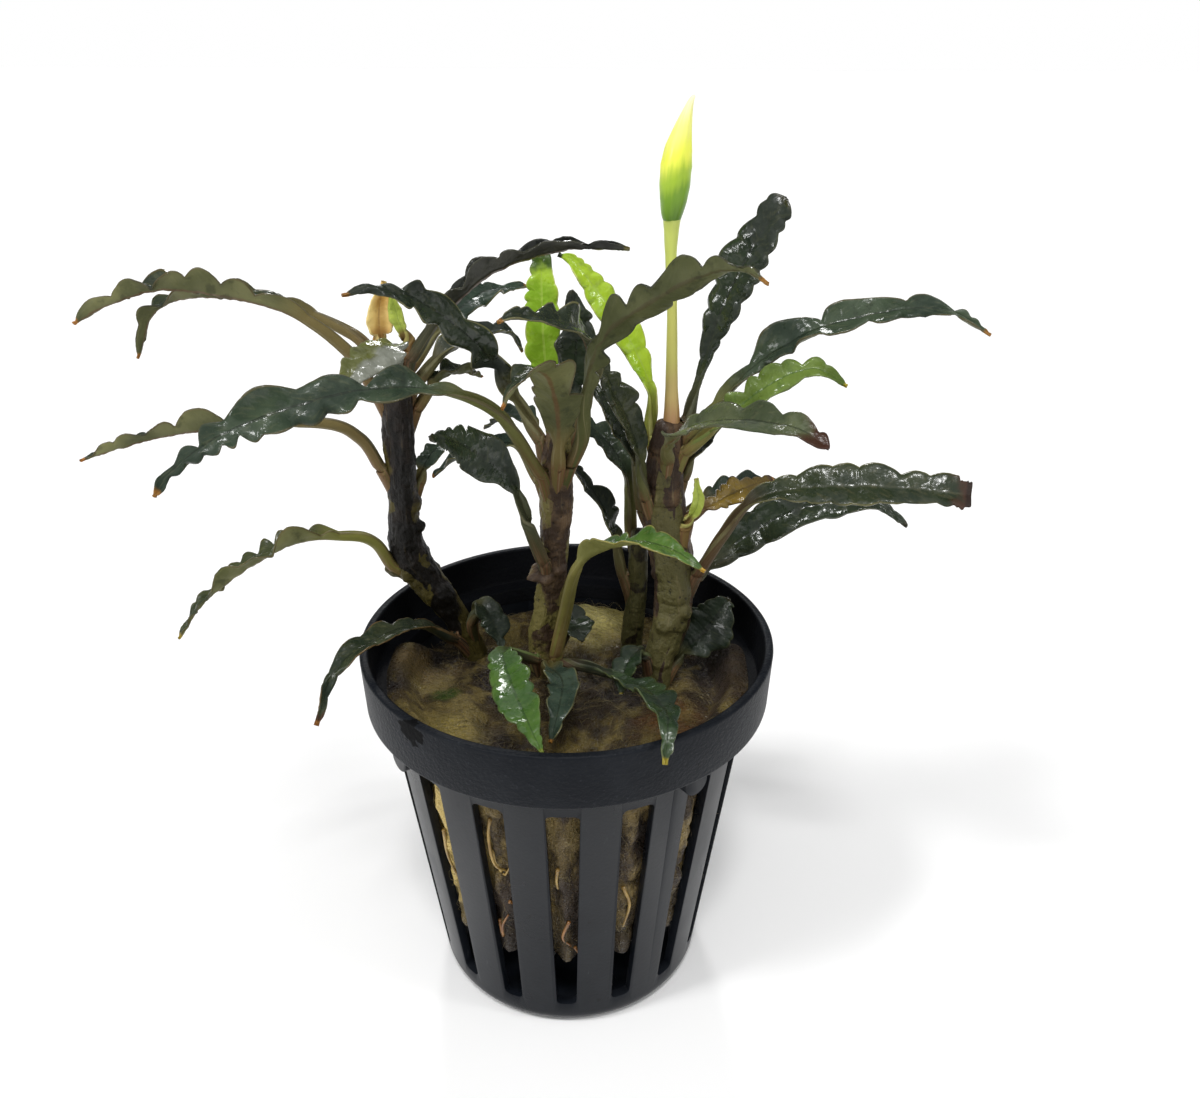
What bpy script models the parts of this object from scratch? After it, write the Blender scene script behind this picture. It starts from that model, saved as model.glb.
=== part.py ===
"""Potted velvet leaf bucephalandra: an aquarium plant in a small net cup.

Three woody stems and one thin side stem stand in a plug of mineral wool. Each leaf grows from a stem on
a narrow petiole, folds along its midrib and has a scalloped margin. One closed flower stands on a stalk.
Lengths in the tables below are millimetres. The origin is the centre of the cup's underside, the front of
the plant faces -Y and +Z is up.
"""

import math
from dataclasses import dataclass

import bmesh
import bpy
import numpy as np
from mathutils import Matrix, Vector, noise

MM = 0.001
GAP = 0.3
MERGE_DISTANCE = 0.00001
SMOOTH_ANGLE = 40.0
LEAF_SMOOTH_ANGLE = 60.0
PART_NAME = "potted_velvet_leaf_bucephalandra"

# Net cup
CUP_HEIGHT = 48.5
RIM_RADIUS = 25.3
RIM_WIDTH = 1.1
BAND_HEIGHT = 7.05
BAND_FOOT_RADIUS = 25.0
WALL_TOP_RADIUS = 22.6
WALL_FOOT_RADIUS = 17.6
WALL_THICKNESS = 1.15
FLOOR_THICKNESS = 1.2
CORNER_RADIUS = 2.4
LEDGE_HEIGHT = 43.4
CUP_SEGMENTS = 32
CORNER_STEPS = 3
INNER_CORNER_STEPS = 2
LIP_CHAMFER = 0.3

# Slots in the wall and in the floor of the cup
SLOT_COUNT = 16
SLOT_TOP = 38.1
SLOT_FOOT = 4.2
SLOT_TOP_WIDTH = 3.9
SLOT_FOOT_WIDTH = 2.5
SLOT_DEPTH = 7.0
SLOT_CORNER = 0.5
FLOOR_SLOT_COUNT = 8
FLOOR_SLOT_WIDTH = 1.8
FLOOR_SLOT_INNER = 5.5
FLOOR_SLOT_OUTER = 13.5

# Lugs under the rim band, by compass angle from the front, turning towards +X
LUG_ANGLES = (38.0, 128.0, -142.0, -52.0)
LUG_WIDTH = 3.2
LUG_HEIGHT = 3.0
LUG_REACH = 24.1
LUG_ROOT = 21.9
LUG_ARC_STEPS = 6

# Mineral wool
WOOL_TOP = 40.6
WOOL_FOOT = 12.0
WOOL_CLEARANCE = 0.4
WOOL_SEGMENTS = 28
WOOL_RINGS = 6
WOOL_LUMP = 0.9
WOOL_GRAIN = 0.16
WOOL_SEED_OFFSET = (3.1, 7.7, 1.3)
# Mounds on the wool: x, y, spread, height
WOOL_MOUNDS = (
    (-2.0, 15.5, 4.0, 2.4),
    (12.0, -9.0, 5.0, 1.2),
    (-14.0, -6.0, 4.5, 1.0),
)

# Leaf blades
LEAF_THICKNESS = 0.5
PETIOLE_HALF_WIDTH = 0.75
PETIOLE_FOLD = 52.0
TIP_HALF_WIDTH = 0.22
PATH_SAMPLES = 60
LOBE_DEPTH = 0.2
BLADE_FULLNESS = 0.5
STEM_SIDES_RESOLUTION = 2


@dataclass(frozen=True)
class Stem:
    """A stem as a row of (x, y, z, radius) stations from its foot to its top."""

    name: str
    stations: tuple
    finish: str = "bark"


@dataclass(frozen=True)
class Leaf:
    """A leaf: where it leaves its stem, the points that its midrib passes through, and its blade.

    face is the way the upper side looks, fold the lift of each half, twist the turn from base to tip,
    belly the share of the blade where it is widest, and blunt the share of its width left at the tip.
    """

    name: str
    stem: str
    height: float
    midrib: tuple
    width: float = 4.6
    face: tuple = (0.0, 0.0, 1.0)
    fold: float = 25.0
    twist: float = 0.0
    lobes: int = 6
    petiole: float = 0.2
    frill: float = 0.35
    finish: str = "leaf_dark"
    belly: float = 0.4
    blunt: float = 0.1


STEMS = (
    Stem("left_stem", ((-11.8, 8.2, 37.5, 1.4), (-12.8, 8.0, 41.0, 1.5), (-15.0, 7.5, 46.6, 1.6),
                       (-17.5, 7.0, 51.0, 2.0), (-19.9, 6.0, 56.0, 2.2), (-20.1, 5.0, 61.4, 1.8),
                       (-19.7, 4.0, 67.0, 1.6), (-19.6, 3.5, 73.6, 1.7), (-19.3, 3.0, 79.2, 1.75),
                       (-19.1, 3.0, 84.0, 1.2))),
    Stem("middle_stem", ((-3.2, 4.2, 37.5, 1.6), (-3.1, 4.0, 42.0, 1.75), (-3.0, 3.5, 46.7, 1.85),
                         (-2.1, 3.0, 52.8, 1.6), (-1.5, 2.0, 58.9, 1.55), (-1.2, 1.5, 65.7, 1.75),
                         (-1.0, 1.0, 70.9, 1.75), (-0.6, 1.0, 74.6, 1.3))),
    Stem("right_stem", ((11.0, -0.3, 37.5, 1.35), (11.2, 0.0, 40.5, 1.4), (11.6, 1.0, 44.6, 1.55),
                        (13.0, 2.3, 49.3, 2.0), (13.2, 4.0, 55.0, 2.3), (12.0, 5.6, 61.0, 2.3),
                        (11.8, 6.0, 66.4, 2.0), (12.0, 6.0, 71.0, 1.75), (12.3, 6.0, 74.2, 1.3))),
    Stem("side_stem", ((7.9, 8.0, 37.5, 1.2), (8.1, 8.0, 41.0, 1.25), (8.8, 7.9, 49.0, 1.25),
                       (9.0, 8.6, 55.0, 1.1), (9.0, 9.2, 58.5, 0.8))),
)

STALK = Stem("flower_stalk", ((12.4, 6.1, 74.8, 1.0), (12.3, 6.3, 78.0, 0.78), (12.1, 7.0, 86.9, 0.62),
                              (11.8, 7.7, 93.0, 0.68), (11.8, 8.0, 96.7, 1.02)), "stalk")
SPATHE = Stem("flower_spathe", ((11.8, 8.0, 97.1, 1.05), (11.9, 8.0, 98.2, 1.3), (12.0, 8.0, 100.4, 1.62),
                                (12.1, 8.0, 102.8, 1.72), (12.4, 8.0, 104.8, 1.4), (12.9, 8.0, 107.3, 0.8),
                                (13.3, 8.0, 108.7, 0.4), (13.7, 8.0, 109.5, 0.14)), "spathe")

LEAVES = (
    # Left stem
    Leaf("left_leaf_01", "left_stem", 79.0, ((-24.0, 1.0, 84.0), (-30.0, 0.0, 88.5), (-40.5, -1.0, 90.9),
         (-47.0, -1.5, 89.8), (-52.0, -2.0, 87.4)), 4.3, (0.0, 0.5, 0.87), 42.0, 10.0, 6, 0.2, 0.4,
         "leaf_olive"),
    Leaf("left_leaf_02", "left_stem", 82.0, ((-24.2, 5.0, 84.7), (-31.0, 6.0, 87.2), (-40.3, 5.5, 88.7),
         (-45.9, 4.5, 87.2), (-48.4, 3.5, 82.0)), 4.8, (0.0, 0.3, 0.95), 30.0, -10.0, 6, 0.2, 0.4,
         "leaf_olive"),
    Leaf("left_leaf_03", "left_stem", 69.0, ((-23.6, 2.4, 73.0), (-27.5, 0.5, 75.6), (-38.5, -3.0, 76.2),
         (-46.0, -4.6, 75.2), (-52.5, -6.0, 73.4)), 4.6, (0.0, 0.45, 0.9), 42.0, 8.0, 7, 0.22, 0.4,
         "leaf_olive"),
    Leaf("left_leaf_04", "left_stem", 55.5, ((-23.5, 3.5, 59.2), (-26.5, 1.5, 60.9), (-33.0, -2.0, 61.2),
         (-41.5, -5.0, 56.2), (-45.2, -7.0, 51.5)), 4.2, (0.0, 0.2, 1.0), 35.0, 5.0, 6, 0.18, 0.4,
         "leaf_olive"),
    Leaf("left_leaf_05", "left_stem", 44.0, ((-18.0, 0.0, 49.2), (-21.5, -6.0, 51.4), (-25.7, -12.0, 50.6),
         (-27.6, -16.0, 45.6)), 4.0, (0.5, 0.3, 1.0), 25.0, 0.0, 5, 0.15, 0.4, "leaf_worn"),
    Leaf("left_leaf_06", "left_stem", 82.5, ((-14.0, 1.2, 86.9), (-7.5, 0.0, 92.6), (0.5, 0.0, 95.0),
         (7.0, 1.0, 94.8)), 4.0, (-0.2, -0.3, 0.9), 48.0, 0.0, 6, 0.12, 0.3),
    Leaf("left_leaf_07", "left_stem", 82.5, ((-18.0, -2.6, 85.0), (-19.3, -7.0, 85.4), (-21.8, -11.0, 83.4)),
         4.8, (0.1, -0.5, 0.86), 12.0, 0.0, 3, 0.2, 0.2, "leaf_silver", 0.5, 0.3),
    Leaf("left_leaf_08", "left_stem", 76.0, ((-14.8, 5.6, 79.2), (-12.2, 7.6, 79.4), (-10.2, 9.6, 78.2)),
         3.8, (0.0, 0.2, 1.0), 28.0, 0.0, 3, 0.25, 0.3, "leaf_olive"),
    Leaf("left_leaf_09", "left_stem", 80.5, ((-15.0, 10.0, 83.8), (-10.5, 17.0, 86.4), (-5.5, 23.0, 86.0)),
         4.8, (0.0, -0.4, 0.9), 15.0, 0.0, 5, 0.2, 0.35, "leaf_grey"),
    Leaf("left_leaf_10", "left_stem", 79.0, ((-14.2, 6.6, 81.8), (-9.5, 9.8, 83.4), (-6.8, 11.2, 83.0),
         (-5.3, 11.8, 80.6)), 4.2, (0.0, -0.2, 1.0), 25.0, 0.0, 4, 0.2, 0.35),
    Leaf("left_leaf_11", "left_stem", 66.0, ((-16.8, 7.0, 68.8), (-14.8, 9.5, 70.0)), 3.0,
         (0.0, -0.4, 0.9), 20.0, 0.0, 3, 0.2, 0.3, "leaf_grey"),
    Leaf("left_leaf_12", "left_stem", 46.0, ((-11.5, 6.0, 49.0), (-9.3, 3.2, 47.5), (-8.3, 1.0, 45.4)), 3.2,
         (0.3, -0.3, 0.9), 22.0, 0.0, 3, 0.3, 0.3),
    # Middle stem
    Leaf("middle_leaf_01", "middle_stem", 69.5, ((-7.0, -4.5, 78.5), (-13.5, -9.5, 82.6),
         (-21.0, -14.0, 83.6), (-30.5, -17.5, 81.4), (-36.0, -19.5, 78.4), (-38.7, -20.5, 75.3)), 4.5,
         (0.0, -0.7, 0.7), 14.0, -30.0, 8, 0.28, 0.3, "leaf_blue", 0.5),
    Leaf("middle_leaf_02", "middle_stem", 73.0, ((-6.2, 2.2, 79.0), (-9.4, -1.0, 85.0), (-14.2, -5.0, 90.3),
         (-18.0, -8.0, 92.5), (-21.2, -10.0, 92.3)), 4.3, (-0.4, -0.3, 0.8), 35.0, 0.0, 7, 0.15, 0.35),
    Leaf("middle_leaf_03", "middle_stem", 71.0, ((2.1, -2.4, 75.6), (2.6, -5.8, 82.0), (4.6, -9.8, 88.5),
         (8.4, -14.8, 92.8), (13.2, -20.5, 96.8), (16.0, -24.0, 97.8), (17.7, -26.5, 97.2)), 4.2,
         (0.55, 0.4, 0.6), 20.0, 0.0, 8, 0.2, 0.35, "leaf_olive_dark", 0.5),
    Leaf("middle_leaf_04", "middle_stem", 73.5, ((-2.4, 5.4, 81.5), (-2.7, 6.8, 87.5), (-2.8, 9.0, 93.4)),
         4.6, (0.0, -1.0, 0.3), 12.0, 0.0, 6, 0.12, 0.3, "leaf_bright", 0.5, 0.6),
    Leaf("middle_leaf_05", "middle_stem", 74.2, ((3.0, 0.8, 81.6), (2.0, -3.6, 87.0), (-1.6, -8.6, 89.7),
         (-4.5, -11.4, 90.6), (-6.0, -12.4, 90.3)), 4.4, (0.2, -0.5, 0.8), 22.0, 0.0, 5, 0.2, 0.3),
    Leaf("middle_leaf_06", "middle_stem", 73.8, ((1.0, 3.8, 80.0), (1.2, 4.3, 85.0), (0.8, 3.6, 89.7)), 5.2,
         (0.2, -1.0, 0.2), 15.0, 0.0, 4, 0.15, 0.25, "leaf_dark", 0.55, 0.3),
    Leaf("middle_leaf_07", "middle_stem", 71.0, ((-0.5, -4.5, 77.5), (-1.0, -8.0, 82.8), (-2.2, -11.5, 85.4),
         (-4.2, -14.5, 84.8), (-5.6, -16.5, 83.0)), 5.2, (0.1, 0.5, 0.85), 22.0, 0.0, 5, 0.12, 0.3,
         "leaf_olive"),
    Leaf("middle_leaf_08", "middle_stem", 58.0, ((-4.3, -2.2, 64.5), (-5.8, -4.2, 70.0), (-8.2, -6.0, 73.5),
         (-11.0, -8.0, 76.2), (-13.6, -10.0, 77.6)), 4.8, (-0.3, -0.7, 0.7), 16.0, 0.0, 5, 0.4, 0.25,
         "leaf_dark", 0.62, 0.3),
    Leaf("middle_leaf_09", "middle_stem", 67.5, ((-5.8, 5.0, 71.0), (-9.5, 7.0, 70.3), (-14.0, 8.6, 68.0),
         (-17.0, 9.5, 65.2)), 3.8, (0.0, -0.3, 0.9), 22.0, 0.0, 5, 0.2, 0.3, "leaf_grey"),
    Leaf("middle_leaf_10", "middle_stem", 71.5, ((-4.7, 6.0, 74.0), (-7.3, 9.0, 73.5), (-10.5, 11.5, 71.0)),
         3.6, (0.0, -0.3, 0.9), 22.0, 0.0, 4, 0.2, 0.3, "leaf_grey"),
    Leaf("middle_leaf_11", "middle_stem", 43.5, ((-0.1, 0.4, 51.5), (1.4, -4.0, 59.5), (4.4, -8.0, 64.0),
         (8.5, -11.0, 66.2), (12.0, -13.0, 66.0), (15.0, -15.0, 64.8)), 4.4, (0.2, -0.6, 0.8), 20.0, 0.0, 6,
         0.45, 0.25, "leaf_tip_green", 0.5),
    Leaf("middle_leaf_12", "middle_stem", 43.5, ((-7.5, -4.0, 48.0), (-6.0, -12.0, 48.6),
         (-3.6, -19.0, 48.0), (-2.0, -22.6, 47.0)), 5.2, (-0.2, -0.3, 0.9), 12.0, 0.0, 4, 0.2, 0.3,
         "leaf_mid_green", 0.5),
    Leaf("middle_leaf_13", "middle_stem", 42.8, ((-2.0, -3.0, 45.2), (-0.4, -8.0, 46.4), (-0.6, -13.0, 46.2),
         (-1.4, -17.5, 44.6)), 4.2, (0.2, -0.3, 0.9), 18.0, 0.0, 4, 0.2, 0.3, "leaf_silver"),
    Leaf("middle_leaf_14", "middle_stem", 46.0, ((0.4, 3.6, 48.0), (1.9, 0.6, 46.8)), 4.0,
         (0.3, -0.3, 0.9), 18.0, 0.0, 3, 0.2, 0.25),
    # Right stem and side stem
    Leaf("right_leaf_01", "right_stem", 73.4, ((16.2, 7.4, 81.0), (17.8, 7.2, 87.0), (20.8, 6.6, 94.0),
         (23.0, 6.2, 97.8), (24.0, 6.0, 99.2)), 6.0, (-0.5, -0.8, 0.3), 14.0, 0.0, 7, 0.1, 0.3, "leaf_dark",
         0.5, 0.3),
    Leaf("right_leaf_02", "right_stem", 72.0, ((20.8, 5.6, 79.8), (24.7, 4.4, 83.3), (28.8, 3.0, 86.0),
         (36.5, 1.0, 88.4), (41.5, -0.6, 88.6), (45.6, -2.0, 86.5)), 4.5, (-0.3, -0.5, 0.8), 22.0, 25.0, 8,
         0.1, 0.55, "leaf_blue"),
    Leaf("right_leaf_03", "right_stem", 70.5, ((18.4, 2.0, 75.8), (23.0, 1.2, 79.9), (27.5, 0.6, 81.9),
         (31.4, 0.0, 80.2)), 4.4, (0.0, -0.6, 0.8), 20.0, 0.0, 5, 0.2, 0.3, "leaf_fresh"),
    Leaf("right_leaf_04", "right_stem", 70.0, ((11.8, -3.0, 75.0), (14.5, -8.5, 78.7), (18.5, -13.5, 80.8),
         (22.8, -17.5, 81.4), (25.5, -20.0, 80.4)), 4.8, (0.3, -0.45, 0.8), 22.0, 0.0, 6, 0.12, 0.35,
         "leaf_olive", 0.55, 0.3),
    Leaf("right_leaf_05", "right_stem", 55.0, ((18.5, 1.5, 61.0), (21.5, -0.6, 66.3), (26.5, -2.8, 69.0),
         (34.5, -5.0, 70.2), (40.0, -6.0, 70.2), (44.5, -7.0, 70.0)), 5.8, (0.0, -0.6, 0.8), 16.0, 0.0, 8,
         0.28, 0.3, "leaf_dark_brown_end", 0.55, 0.75),
    Leaf("right_leaf_06", "right_stem", 54.0, ((21.0, 5.0, 58.4), (26.5, 4.6, 62.4), (31.5, 4.4, 64.0),
         (37.0, 4.4, 64.3), (41.5, 4.0, 61.2)), 5.4, (0.1, -0.7, 0.7), 14.0, 0.0, 7, 0.06, 0.3, "leaf_dark",
         0.35),
    Leaf("right_leaf_07", "right_stem", 61.5, ((17.8, 6.0, 63.2), (21.5, 7.2, 64.6), (25.5, 8.4, 65.6)), 4.0,
         (0.0, -0.5, 0.8), 15.0, 0.0, 5, 0.15, 0.35, "leaf_old", 0.5, 0.3),
    Leaf("right_leaf_08", "right_stem", 61.0, ((19.0, 11.0, 62.6), (24.5, 14.0, 63.0), (28.5, 16.0, 61.2)),
         3.6, (0.0, -0.2, 1.0), 22.0, 0.0, 4, 0.2, 0.3, "leaf_grey"),
    Leaf("right_leaf_09", "right_stem", 66.0, ((15.8, 8.5, 70.0), (18.0, 10.5, 72.0), (20.5, 12.5, 71.6)),
         3.8, (0.0, -0.3, 0.9), 22.0, 0.0, 3, 0.2, 0.3),
    Leaf("right_leaf_10", "right_stem", 64.5, ((8.2, 3.6, 72.0), (6.0, 2.9, 77.5), (4.0, 2.6, 81.8),
         (3.2, 2.4, 84.2)), 4.6, (0.3, -0.5, 0.7), 22.0, 0.0, 5, 0.2, 0.25, "leaf_olive_dark", 0.5),
    Leaf("right_leaf_11", "right_stem", 62.0, ((8.3, 7.0, 68.5), (6.0, 7.3, 73.5), (3.8, 7.3, 77.0),
         (2.0, 7.8, 79.0)), 4.2, (0.2, -0.5, 0.8), 20.0, 0.0, 5, 0.3, 0.3),
    Leaf("right_leaf_12", "right_stem", 71.5, ((9.9, 7.2, 77.5), (7.0, 8.4, 83.6), (3.6, 9.0, 88.4),
         (0.8, 8.8, 91.8), (-0.8, 8.6, 92.7)), 4.4, (0.3, -0.8, 0.4), 12.0, 0.0, 6, 0.15, 0.3,
         "leaf_bright", 0.55),
    Leaf("right_leaf_13", "right_stem", 43.0, ((15.0, 1.8, 45.2), (17.6, 2.6, 47.4), (19.6, 3.4, 50.4)),
         5.2, (-0.6, -0.7, 0.4), 12.0, 0.0, 4, 0.15, 0.25, "leaf_dark", 0.5, 0.4),
    Leaf("right_leaf_14", "middle_stem", 42.6, ((2.6, 0.4, 43.2), (5.6, -5.0, 45.2), (9.0, -12.5, 48.6),
         (11.0, -19.5, 50.4), (11.1, -23.0, 50.4), (10.8, -25.6, 47.8)), 4.8, (0.2, -0.3, 0.9), 14.0, 0.0, 6,
         0.2, 0.3, "leaf_mid_dark", 0.55),
    Leaf("right_leaf_15", "right_stem", 45.0, ((8.8, -0.8, 46.2), (7.2, -2.6, 45.0), (6.6, -4.0, 42.9)), 4.0,
         (-0.4, -0.5, 0.7), 18.0, 0.0, 3, 0.2, 0.3, "leaf_mid_dark"),
    Leaf("side_leaf_01", "side_stem", 52.0, ((5.4, 8.2, 59.4), (3.4, 9.0, 63.0), (0.2, 9.8, 67.0),
         (-1.8, 10.5, 67.8)), 3.8, (0.3, -0.2, 0.9), 18.0, 0.0, 5, 0.2, 0.25),
    Leaf("side_leaf_02", "side_stem", 57.0, ((7.5, 11.0, 64.3), (4.8, 11.5, 69.2), (1.0, 12.0, 72.0),
         (-1.2, 12.5, 72.4)), 4.2, (0.3, -0.4, 0.8), 18.0, 0.0, 5, 0.3, 0.25, "leaf_blue"),
)

CROWN_SHEATH = Leaf("left_crown_sheath", "left_stem", 83.4, ((-20.7, 3.8, 87.0), (-19.8, 3.8, 90.6)), 2.9,
                    (1.0, -0.6, 0.1), 32.0, 0.0, 2, 0.2, 0.0, "sheath")
CROWN_BUD = Leaf("left_crown_bud", "left_stem", 83.8, ((-17.9, 3.6, 86.6), (-18.4, 3.8, 89.4)), 1.8,
                 (-1.0, -0.6, 0.1), 25.0, 0.0, 2, 0.2, 0.0, "bud")
RIGHT_BUD = Leaf("right_bud", "right_stem", 61.0, ((15.6, 2.6, 64.5), (15.3, 2.2, 68.0)), 1.7,
                 (0.0, -1.0, 0.2), 25.0, 0.0, 2, 0.2, 0.0, "bud")

# Finishes: base colour, roughness, metallic
FINISHES = {
    "cup": ((0.012, 0.018, 0.03), 0.42, 0.0),
    "wool": ((0.16, 0.12, 0.03), 0.7, 0.0),
    "bark": ((0.05, 0.04, 0.02), 0.6, 0.0),
    "stalk": ((0.55, 0.53, 0.18), 0.4, 0.0),
    "spathe": ((0.6, 0.68, 0.08), 0.4, 0.0),
    "leaf_dark": ((0.012, 0.03, 0.02), 0.3, 0.0),
    "leaf_blue": ((0.02, 0.045, 0.04), 0.3, 0.0),
    "leaf_grey": ((0.05, 0.085, 0.07), 0.35, 0.0),
    "leaf_silver": ((0.12, 0.14, 0.11), 0.3, 0.0),
    "leaf_olive": ((0.07, 0.085, 0.025), 0.4, 0.0),
    "leaf_olive_dark": ((0.04, 0.045, 0.02), 0.4, 0.0),
    "leaf_bright": ((0.2, 0.42, 0.02), 0.35, 0.0),
    "leaf_fresh": ((0.09, 0.2, 0.02), 0.3, 0.0),
    "leaf_mid_green": ((0.04, 0.09, 0.03), 0.35, 0.0),
    "leaf_mid_dark": ((0.03, 0.06, 0.03), 0.35, 0.0),
    "leaf_tip_green": ((0.06, 0.12, 0.03), 0.35, 0.0),
    "leaf_worn": ((0.06, 0.08, 0.02), 0.4, 0.0),
    "leaf_old": ((0.2, 0.13, 0.02), 0.35, 0.0),
    "leaf_dark_brown_end": ((0.02, 0.035, 0.02), 0.3, 0.0),
    "sheath": ((0.45, 0.3, 0.12), 0.5, 0.0),
    "bud": ((0.3, 0.33, 0.08), 0.4, 0.0),
}


def clear_scene():
    """Remove every object, mesh, curve and material that the scene starts with."""
    for scene_object in list(bpy.data.objects):
        bpy.data.objects.remove(scene_object, do_unlink=True)
    for store in (bpy.data.meshes, bpy.data.curves, bpy.data.materials):
        for block in list(store):
            store.remove(block)


def new_collection(name):
    """Return a new collection linked to the scene."""
    group = bpy.data.collections.new(name)
    bpy.context.scene.collection.children.link(group)
    return group


def principled_material(name, finish):
    """Return a Principled material with the colour, roughness and metallic value of a finish."""
    colour, roughness, metallic = FINISHES[finish]
    material = bpy.data.materials.new(name)
    material.use_nodes = True
    shader = material.node_tree.nodes["Principled BSDF"]
    shader.inputs["Base Color"].default_value = (*colour, 1.0)
    shader.inputs["Roughness"].default_value = roughness
    shader.inputs["Metallic"].default_value = metallic
    return material


def object_from_bmesh(bm, name, group, finish=None, smooth_angle=SMOOTH_ANGLE):
    """Turn a bmesh drawn in millimetres into a mesh object, with a material if a finish is given."""
    bmesh.ops.scale(bm, vec=(MM, MM, MM), verts=bm.verts)
    mesh = bpy.data.meshes.new(name)
    bm.to_mesh(mesh)
    bm.free()
    mesh.shade_smooth()
    mesh.set_sharp_from_angle(angle=math.radians(smooth_angle))
    made = bpy.data.objects.new(name, mesh)
    group.objects.link(made)
    if finish:
        made.data.materials.append(principled_material(name, finish))
    return made


def hide_cutter(cutter):
    """Mark an object as a cutter that is never shown."""
    cutter.hide_render = True
    cutter.display_type = "WIRE"


def add_boolean(target, tool, operation):
    """Add an exact Boolean of a target with a tool."""
    modifier = target.modifiers.new(operation.lower(), "BOOLEAN")
    modifier.object = tool
    modifier.operation = operation
    modifier.solver = "EXACT"


def wall_radius(height):
    """Return the outer radius of the cup's wall at a height."""
    share = height / (CUP_HEIGHT - BAND_HEIGHT)
    return WALL_FOOT_RADIUS + (WALL_TOP_RADIUS - WALL_FOOT_RADIUS) * share


def arc_points(centre, radius, start, end, steps):
    """Return points on an arc in the profile plane, with angles in degrees."""
    points = []
    for step in range(steps + 1):
        angle = math.radians(start + (end - start) * step / steps)
        points.append((centre[0] + radius * math.cos(angle), centre[1] + radius * math.sin(angle)))
    return points


def cup_profile():
    """Return the cup's section: up its inner side, over the lip and down its outer side."""
    wall_top = CUP_HEIGHT - BAND_HEIGHT
    inner_rim = RIM_RADIUS - RIM_WIDTH
    inner_corner = CORNER_RADIUS - WALL_THICKNESS
    corner_x = WALL_FOOT_RADIUS - CORNER_RADIUS
    inner = [(0.0, FLOOR_THICKNESS), (FLOOR_SLOT_OUTER, FLOOR_THICKNESS)]
    inner += arc_points((corner_x, FLOOR_THICKNESS + inner_corner), inner_corner, -90.0, 0.0,
                        INNER_CORNER_STEPS)
    inner.append((wall_radius(LEDGE_HEIGHT) - WALL_THICKNESS, LEDGE_HEIGHT))
    inner.append((BAND_FOOT_RADIUS - RIM_WIDTH, LEDGE_HEIGHT + LIP_CHAMFER))
    lip = [
        (inner_rim, CUP_HEIGHT - LIP_CHAMFER),
        (inner_rim + LIP_CHAMFER, CUP_HEIGHT),
        (RIM_RADIUS - LIP_CHAMFER, CUP_HEIGHT),
        (RIM_RADIUS, CUP_HEIGHT - LIP_CHAMFER),
    ]
    outer = [
        (BAND_FOOT_RADIUS, wall_top + LIP_CHAMFER),
        (BAND_FOOT_RADIUS - LIP_CHAMFER, wall_top),
        (WALL_TOP_RADIUS, wall_top),
    ]
    outer += arc_points((corner_x, CORNER_RADIUS), CORNER_RADIUS, 0.0, -90.0, CORNER_STEPS)
    return inner + lip + outer + [(0.0, 0.0)]


def profile_object(points, name, group, finish, steps):
    """Turn a profile in the XZ plane round the Z axis with a Screw modifier."""
    bm = bmesh.new()
    verts = [bm.verts.new((x, 0.0, z)) for x, z in points]
    for first, second in zip(verts, verts[1:]):
        bm.edges.new((first, second))
    turned = object_from_bmesh(bm, name, group, finish)
    screw = turned.modifiers.new("turn", "SCREW")
    screw.steps = steps
    screw.render_steps = steps
    screw.use_merge_vertices = True
    screw.merge_threshold = MERGE_DISTANCE
    screw.use_smooth_shade = True
    return turned


def add_slot_cutter(bm, angle):
    """Add one tapered slot cutter, standing in the cup's wall at an angle."""
    made = bmesh.ops.create_cube(bm, size=1.0)
    verts = made["verts"]
    for vert in verts:
        upper = vert.co.z > 0.0
        width = SLOT_TOP_WIDTH if upper else SLOT_FOOT_WIDTH
        height = SLOT_TOP if upper else SLOT_FOOT
        vert.co = Vector((vert.co.x * width, vert.co.y * SLOT_DEPTH - wall_radius(height), height))
    edges = [
        edge
        for edge in {edge for vert in verts for edge in vert.link_edges}
        if abs(edge.verts[0].co.y - edge.verts[1].co.y) > SLOT_DEPTH / 2
    ]
    bevelled = bmesh.ops.bevel(bm, geom=edges, offset=SLOT_CORNER, segments=1, profile=0.5, affect="EDGES")
    island = set(bevelled["verts"]) | {vert for vert in verts if vert.is_valid}
    bmesh.ops.rotate(bm, cent=(0, 0, 0), matrix=Matrix.Rotation(angle, 3, "Z"), verts=list(island))


def add_floor_slot(bm, angle):
    """Add one radial slot cutter for the cup's floor."""
    length = FLOOR_SLOT_OUTER - FLOOR_SLOT_INNER
    middle = (FLOOR_SLOT_OUTER + FLOOR_SLOT_INNER) / 2
    made = bmesh.ops.create_cube(bm, size=1.0)
    bmesh.ops.scale(bm, vec=(length, FLOOR_SLOT_WIDTH, FLOOR_THICKNESS * 3), verts=made["verts"])
    bmesh.ops.translate(bm, vec=(middle, 0.0, FLOOR_THICKNESS / 2), verts=made["verts"])
    bmesh.ops.rotate(bm, cent=(0, 0, 0), matrix=Matrix.Rotation(angle, 3, "Z"), verts=made["verts"])


def slot_cutters(group):
    """Return one object that holds every slot cutter of the cup."""
    bm = bmesh.new()
    for index in range(SLOT_COUNT):
        add_slot_cutter(bm, math.tau * index / SLOT_COUNT)
    for index in range(FLOOR_SLOT_COUNT):
        add_floor_slot(bm, math.tau * (index + 0.5) / FLOOR_SLOT_COUNT)
    cutter = object_from_bmesh(bm, "slot_cutters", group)
    hide_cutter(cutter)
    return cutter


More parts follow.
